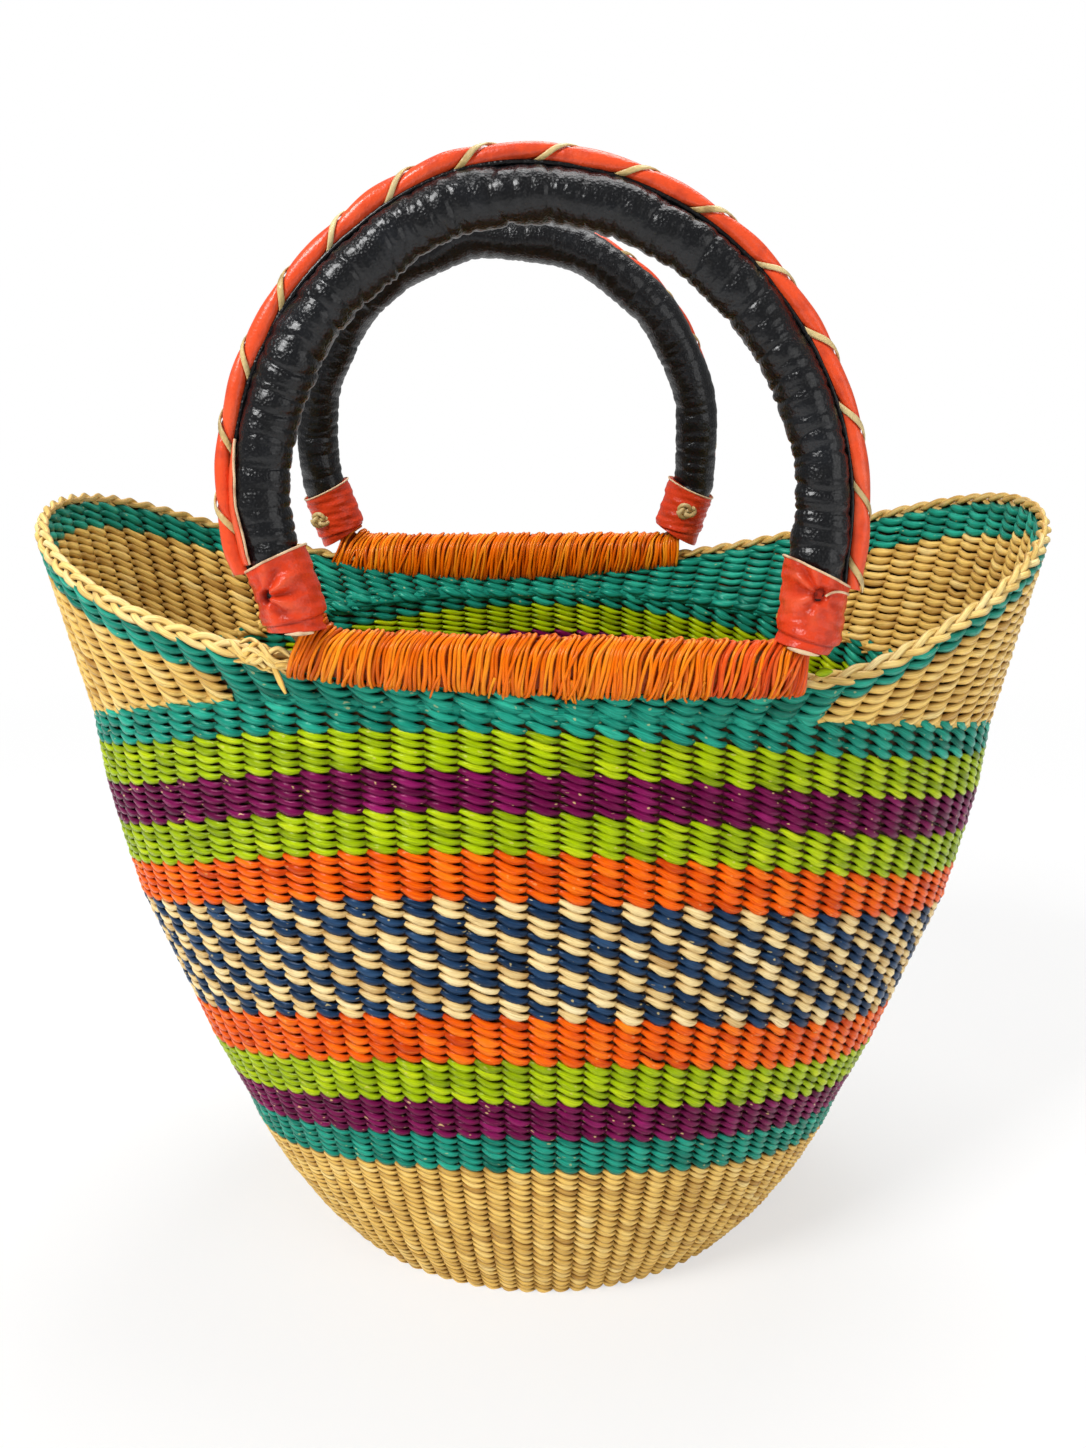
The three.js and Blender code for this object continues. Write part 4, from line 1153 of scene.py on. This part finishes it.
def windLashing(label, spec):
    _, _, line = barRest(spec)
    half = barHalf + lashing["endShare"] * cornerLength
    steps, loose = lashing["steps"], lashing["looseSteps"]
    wound, reddish = StrandSet(), StrandSet()
    stations = np.arange(-half, half, lashing["spacing"])
    waves = np.linspace(-half, half, lashing["leanWaves"])
    drift = np.interp(stations, waves, dice.normal(0, lashing["drift"], lashing["leanWaves"]))

    def add(s, ring, out, width, thickness, tone, closed=True):
        first, last = lashing["reddish"]
        isReddish = label == "front" and first < s < last and dice.uniform() < lashing["reddishShare"]
        (reddish if isReddish else wound).addFlat(ring, out, width, thickness, tone, closed)

    def somewhere():
        return dice.uniform(-half * lashing["spreadShare"], half * lashing["spreadShare"])

    for s, sway in zip(stations, drift):
        left, right = (np.clip((way * s - half) / lashing["leanLength"] + 1, 0, 1) for way in (-1, 1))
        lean = lashing["lean"] + sway + lashing["leftLean"] * left + lashing["rightLean"] * right
        lean += dice.normal(0, lashing["leanSpread"])
        at, lift = s + dice.normal(0, lashing["placeSpread"]), dice.uniform(0, lashing["liftMost"])
        ring, out = lashingRing(spec, line, at, steps, lift, lean, wave=dice.uniform(0, 6.3))
        tone = float(np.clip(dice.normal(0.05, lashing["toneSpread"]), -1, 1))
        add(s, ring, out, lashing["width"] * dice.uniform(0.8, 1.25), lashing["thickness"], tone)
    for _ in range(lashing["crossing"]):
        s, lean = somewhere(), lashing["lean"] + dice.uniform(-0.0012, 0.0035)
        ring, out = lashingRing(spec, line, s, steps, lashing["crossingLift"], lean, wave=dice.uniform(0, 6.3))
        add(s, ring, out, lashing["width"] * 0.85, lashing["thickness"] * 0.8, dice.uniform(-0.2, 0.8))
    for _ in range(lashing["looseEnds"]):
        s = somewhere()
        ring, out = lashingRing(spec, line, s, loose, lashing["looseLift"], dice.uniform(0.001, 0.006), -0.3, -1.15)
        away = (np.linspace(0, 1, loose) ** 3)[:, None] * dice.uniform(0.0003, 0.0016)
        ring = ring + (out + np.array([dice.uniform(-1.5, 1.5), 0, -0.6])) * away
        width = lashing["looseWidth"] - 0.0006 * np.linspace(0, 1, loose)
        add(s, ring, out, width, lashing["looseThickness"], dice.uniform(-0.2, 1), False)
    place(label + "_lashing_strands", wound, lashingGrass, "basket", label + "_lashing")
    if reddish.strands:
        place("front_lashing_reddish", reddish, reddishGrass, "basket")
    # what lies under the outer turns, in painted shade: tone -1 gives it the full shade colour
    under = np.stack([lashingRing(spec, line, s, lashing["underSides"], -lashing["underDepth"], 0)[0]
                      for s in np.linspace(-half, half, lashing["underTurns"])])
    name = label + "_lashing_under_turns"
    place(name, skinMesh(name, under, np.full(under.shape[:2], -1.0)), lashingGrass, "basket")


# Natural strands knotted along the border where the front lashing begins, and a leaf at its other end
knotShape = {
    "from": -0.11, "to": -0.084, "strands": 7, "loose": 2, "points": 34, "reach": 0.004,
    "width": 0.0023, "thickness": 0.0016,
    "fallFrom": 0.45, "fall": ((0.004, -0.002, -0.02), (0.004, -0.002, -0.034)),  # of the loose ends
}
leaf = {
    "at": 0.0965, "length": 0.0062, "width": 0.0042, "thickness": 0.0007, "points": 10,
    "off": (-0.0015, -0.0042, 0.0036), "way": (0.98, -0.1, 0.16),
    "wide": (-0.16, -0.3, 0.94), "thin": (0.1, -0.94, -0.3),
}


def borderKnot():
    _, _, line = barRest(handles["front"])
    knot, blade = StrandSet(), StrandSet()
    share = np.linspace(0, 1, knotShape["points"])
    for index in range(knotShape["strands"]):
        first, last = sorted(dice.uniform(0, 1, 2) * [0.25, 0.3] + [0, 0.7])
        x = knotShape["from"] + (knotShape["to"] - knotShape["from"]) * (first + (last - first) * share)
        turn = -0.9 + 2.1 * index / knotShape["strands"] + dice.uniform(0.4, 0.8) * np.sin(share * 7 + index * 2.1)
        out = np.stack([0 * turn, -np.cos(turn), np.sin(turn)], -1)
        path = seatAt(line, x) + out * (knotShape["reach"] + 0.0009 * np.sin(share * 9 + index) ** 2)[:, None]
        if index >= knotShape["strands"] - knotShape["loose"]:
            fallen = np.clip(share - knotShape["fallFrom"], 0, 1)[:, None] ** 2
            path = path + fallen * knotShape["fall"][index % 2]
        way = wayOf(path)
        wide = square(way, out)
        shape = np.clip(np.minimum(share, 1 - share) * 6 + 0.45, 0, 1)
        width, thickness = knotShape["width"] * shape, knotShape["thickness"] * shape
        knot.add(path, wide, square(wide, way), width, thickness, dice.uniform(-0.3, 0.9))
    place("front_border_knot", knot, naturalGrass, "basket")
    share = np.linspace(0, 1, leaf["points"])
    path = seatAt(line, leaf["at"]) + leaf["off"] + share[:, None] * leaf["length"] * np.array(leaf["way"])
    wide, thin = (np.tile(unit(np.array(leaf[key])), (leaf["points"], 1)) for key in ("wide", "thin"))
    width = leaf["width"] * np.sin(math.pi * (share * 0.85 + 0.1))
    blade.add(path, wide, thin, width, leaf["thickness"], -0.3)
    place("front_border_leaf", blade, limeGrass, "basket")


borderKnot()
for label, spec in handles.items():
    windLashing(label, spec)
print("lashings wound")

# Bent stick inside each handle keeps its CAD shape and gets its finish here
stickWood, _ = grass("peeled stick", None, (150, 112, 64), (96, 66, 32), (190, 152, 98), 0)
for label in handles:
    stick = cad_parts[label + "_core_hoop"]
    stick.data.materials.clear()
    stick.data.materials.append(stickWood)

# Camera: the lens sees the 1086 by 1448 photograph, whose longer side spans the film
photo = {"focalPixels": 1295, "height": 1448, "eye": (0, -0.56, 0.386), "downTilt": math.radians(16)}
camera = bpy.data.objects.new("camera", bpy.data.cameras.new("camera"))
camera.data.sensor_width = 36
camera.data.lens = photo["focalPixels"] / photo["height"] * 36
camera.data.clip_start = 0.01
camera.location = photo["eye"]
camera.rotation_euler = (math.pi / 2 - photo["downTilt"], 0, 0)
bpy.context.scene.collection.objects.link(camera)
bpy.context.scene.camera = camera

# Studio: white floor and background, one big soft light from above and one from the front left
studio = {"floorHalf": 3.0, "worldStrength": 0.3, "fadeFrom": 0.4, "fadeTo": 1.1, "glowShare": 0.62}


def lamp(name, at, target, size, power):
    light = bpy.data.lights.new(name, "AREA")
    light.size = size
    light.energy = power
    holder = bpy.data.objects.new(name, light)
    holder.location = at
    aim = np.array(target) - np.array(at)
    flat = math.hypot(aim[0], aim[1])
    holder.rotation_euler = (math.atan2(flat, -aim[2]), 0, math.atan2(aim[1], aim[0]) - math.pi / 2)
    bpy.context.scene.collection.objects.link(holder)


lamp("key light", (-0.9, -0.9, 1.5), (0, 0, 0.2), 0.55, 26)
lamp("top light", (0.2, 0.5, 1.7), (0, 0, 0.2), 1.1, 20)
lamp("fill light", (1.2, -1.0, 0.7), (0, 0, 0.2), 1.0, 6)

white = (1, 1, 1, 1)
world = bpy.data.worlds.new("studio")
bpy.context.scene.world = world
world.use_nodes = True
tree = world.node_tree
sky = tree.nodes["Background"]
feed(tree, sky, {"Color": white, "Strength": studio["worldStrength"]})
seen = addNode(tree, "Background", {"Color": white})
rays = addNode(tree, "LightPath").outputs["Is Camera Ray"]
pick = addNode(tree, "MixShader", {0: rays, 1: sky.outputs[0], 2: seen.outputs[0]})
feed(tree, tree.nodes["World Output"], {0: pick.outputs[0]})

edge = studio["floorHalf"]
floorMesh = bpy.data.meshes.new("floor")
floorMesh.from_pydata([(-edge, -edge, 0), (edge, -edge, 0), (edge, edge, 0), (-edge, edge, 0)], [], [(0, 1, 2, 3)])
floor = bpy.data.objects.new("floor", floorMesh)
bpy.context.scene.collection.objects.link(floor)
paper = bpy.data.materials.new("studio floor")
paper.use_nodes = True
tree = paper.node_tree
shader = tree.nodes["Principled BSDF"]
feed(tree, shader, {"Base Color": (0.9, 0.9, 0.9, 1), "Roughness": 0.9})
spot = addNode(tree, "NewGeometry").outputs["Position"]
far = addNode(tree, "VectorMath", {0: spot}, operation="LENGTH").outputs["Value"]
fade = rangeOf(tree, far, studio["fadeFrom"], studio["fadeTo"], studio["glowShare"], 1)
rays = addNode(tree, "LightPath").outputs["Is Camera Ray"]
glow = addNode(tree, "Emission").outputs[0]
blend = addNode(tree, "MixShader", {0: mathOf(tree, "MULTIPLY", fade, rays), 1: shader.outputs[0], 2: glow})
feed(tree, tree.nodes["Material Output"], {0: blend.outputs[0]})
floor.data.materials.append(paper)

bpy.context.scene.view_settings.view_transform = "Standard"
print("studio lit")
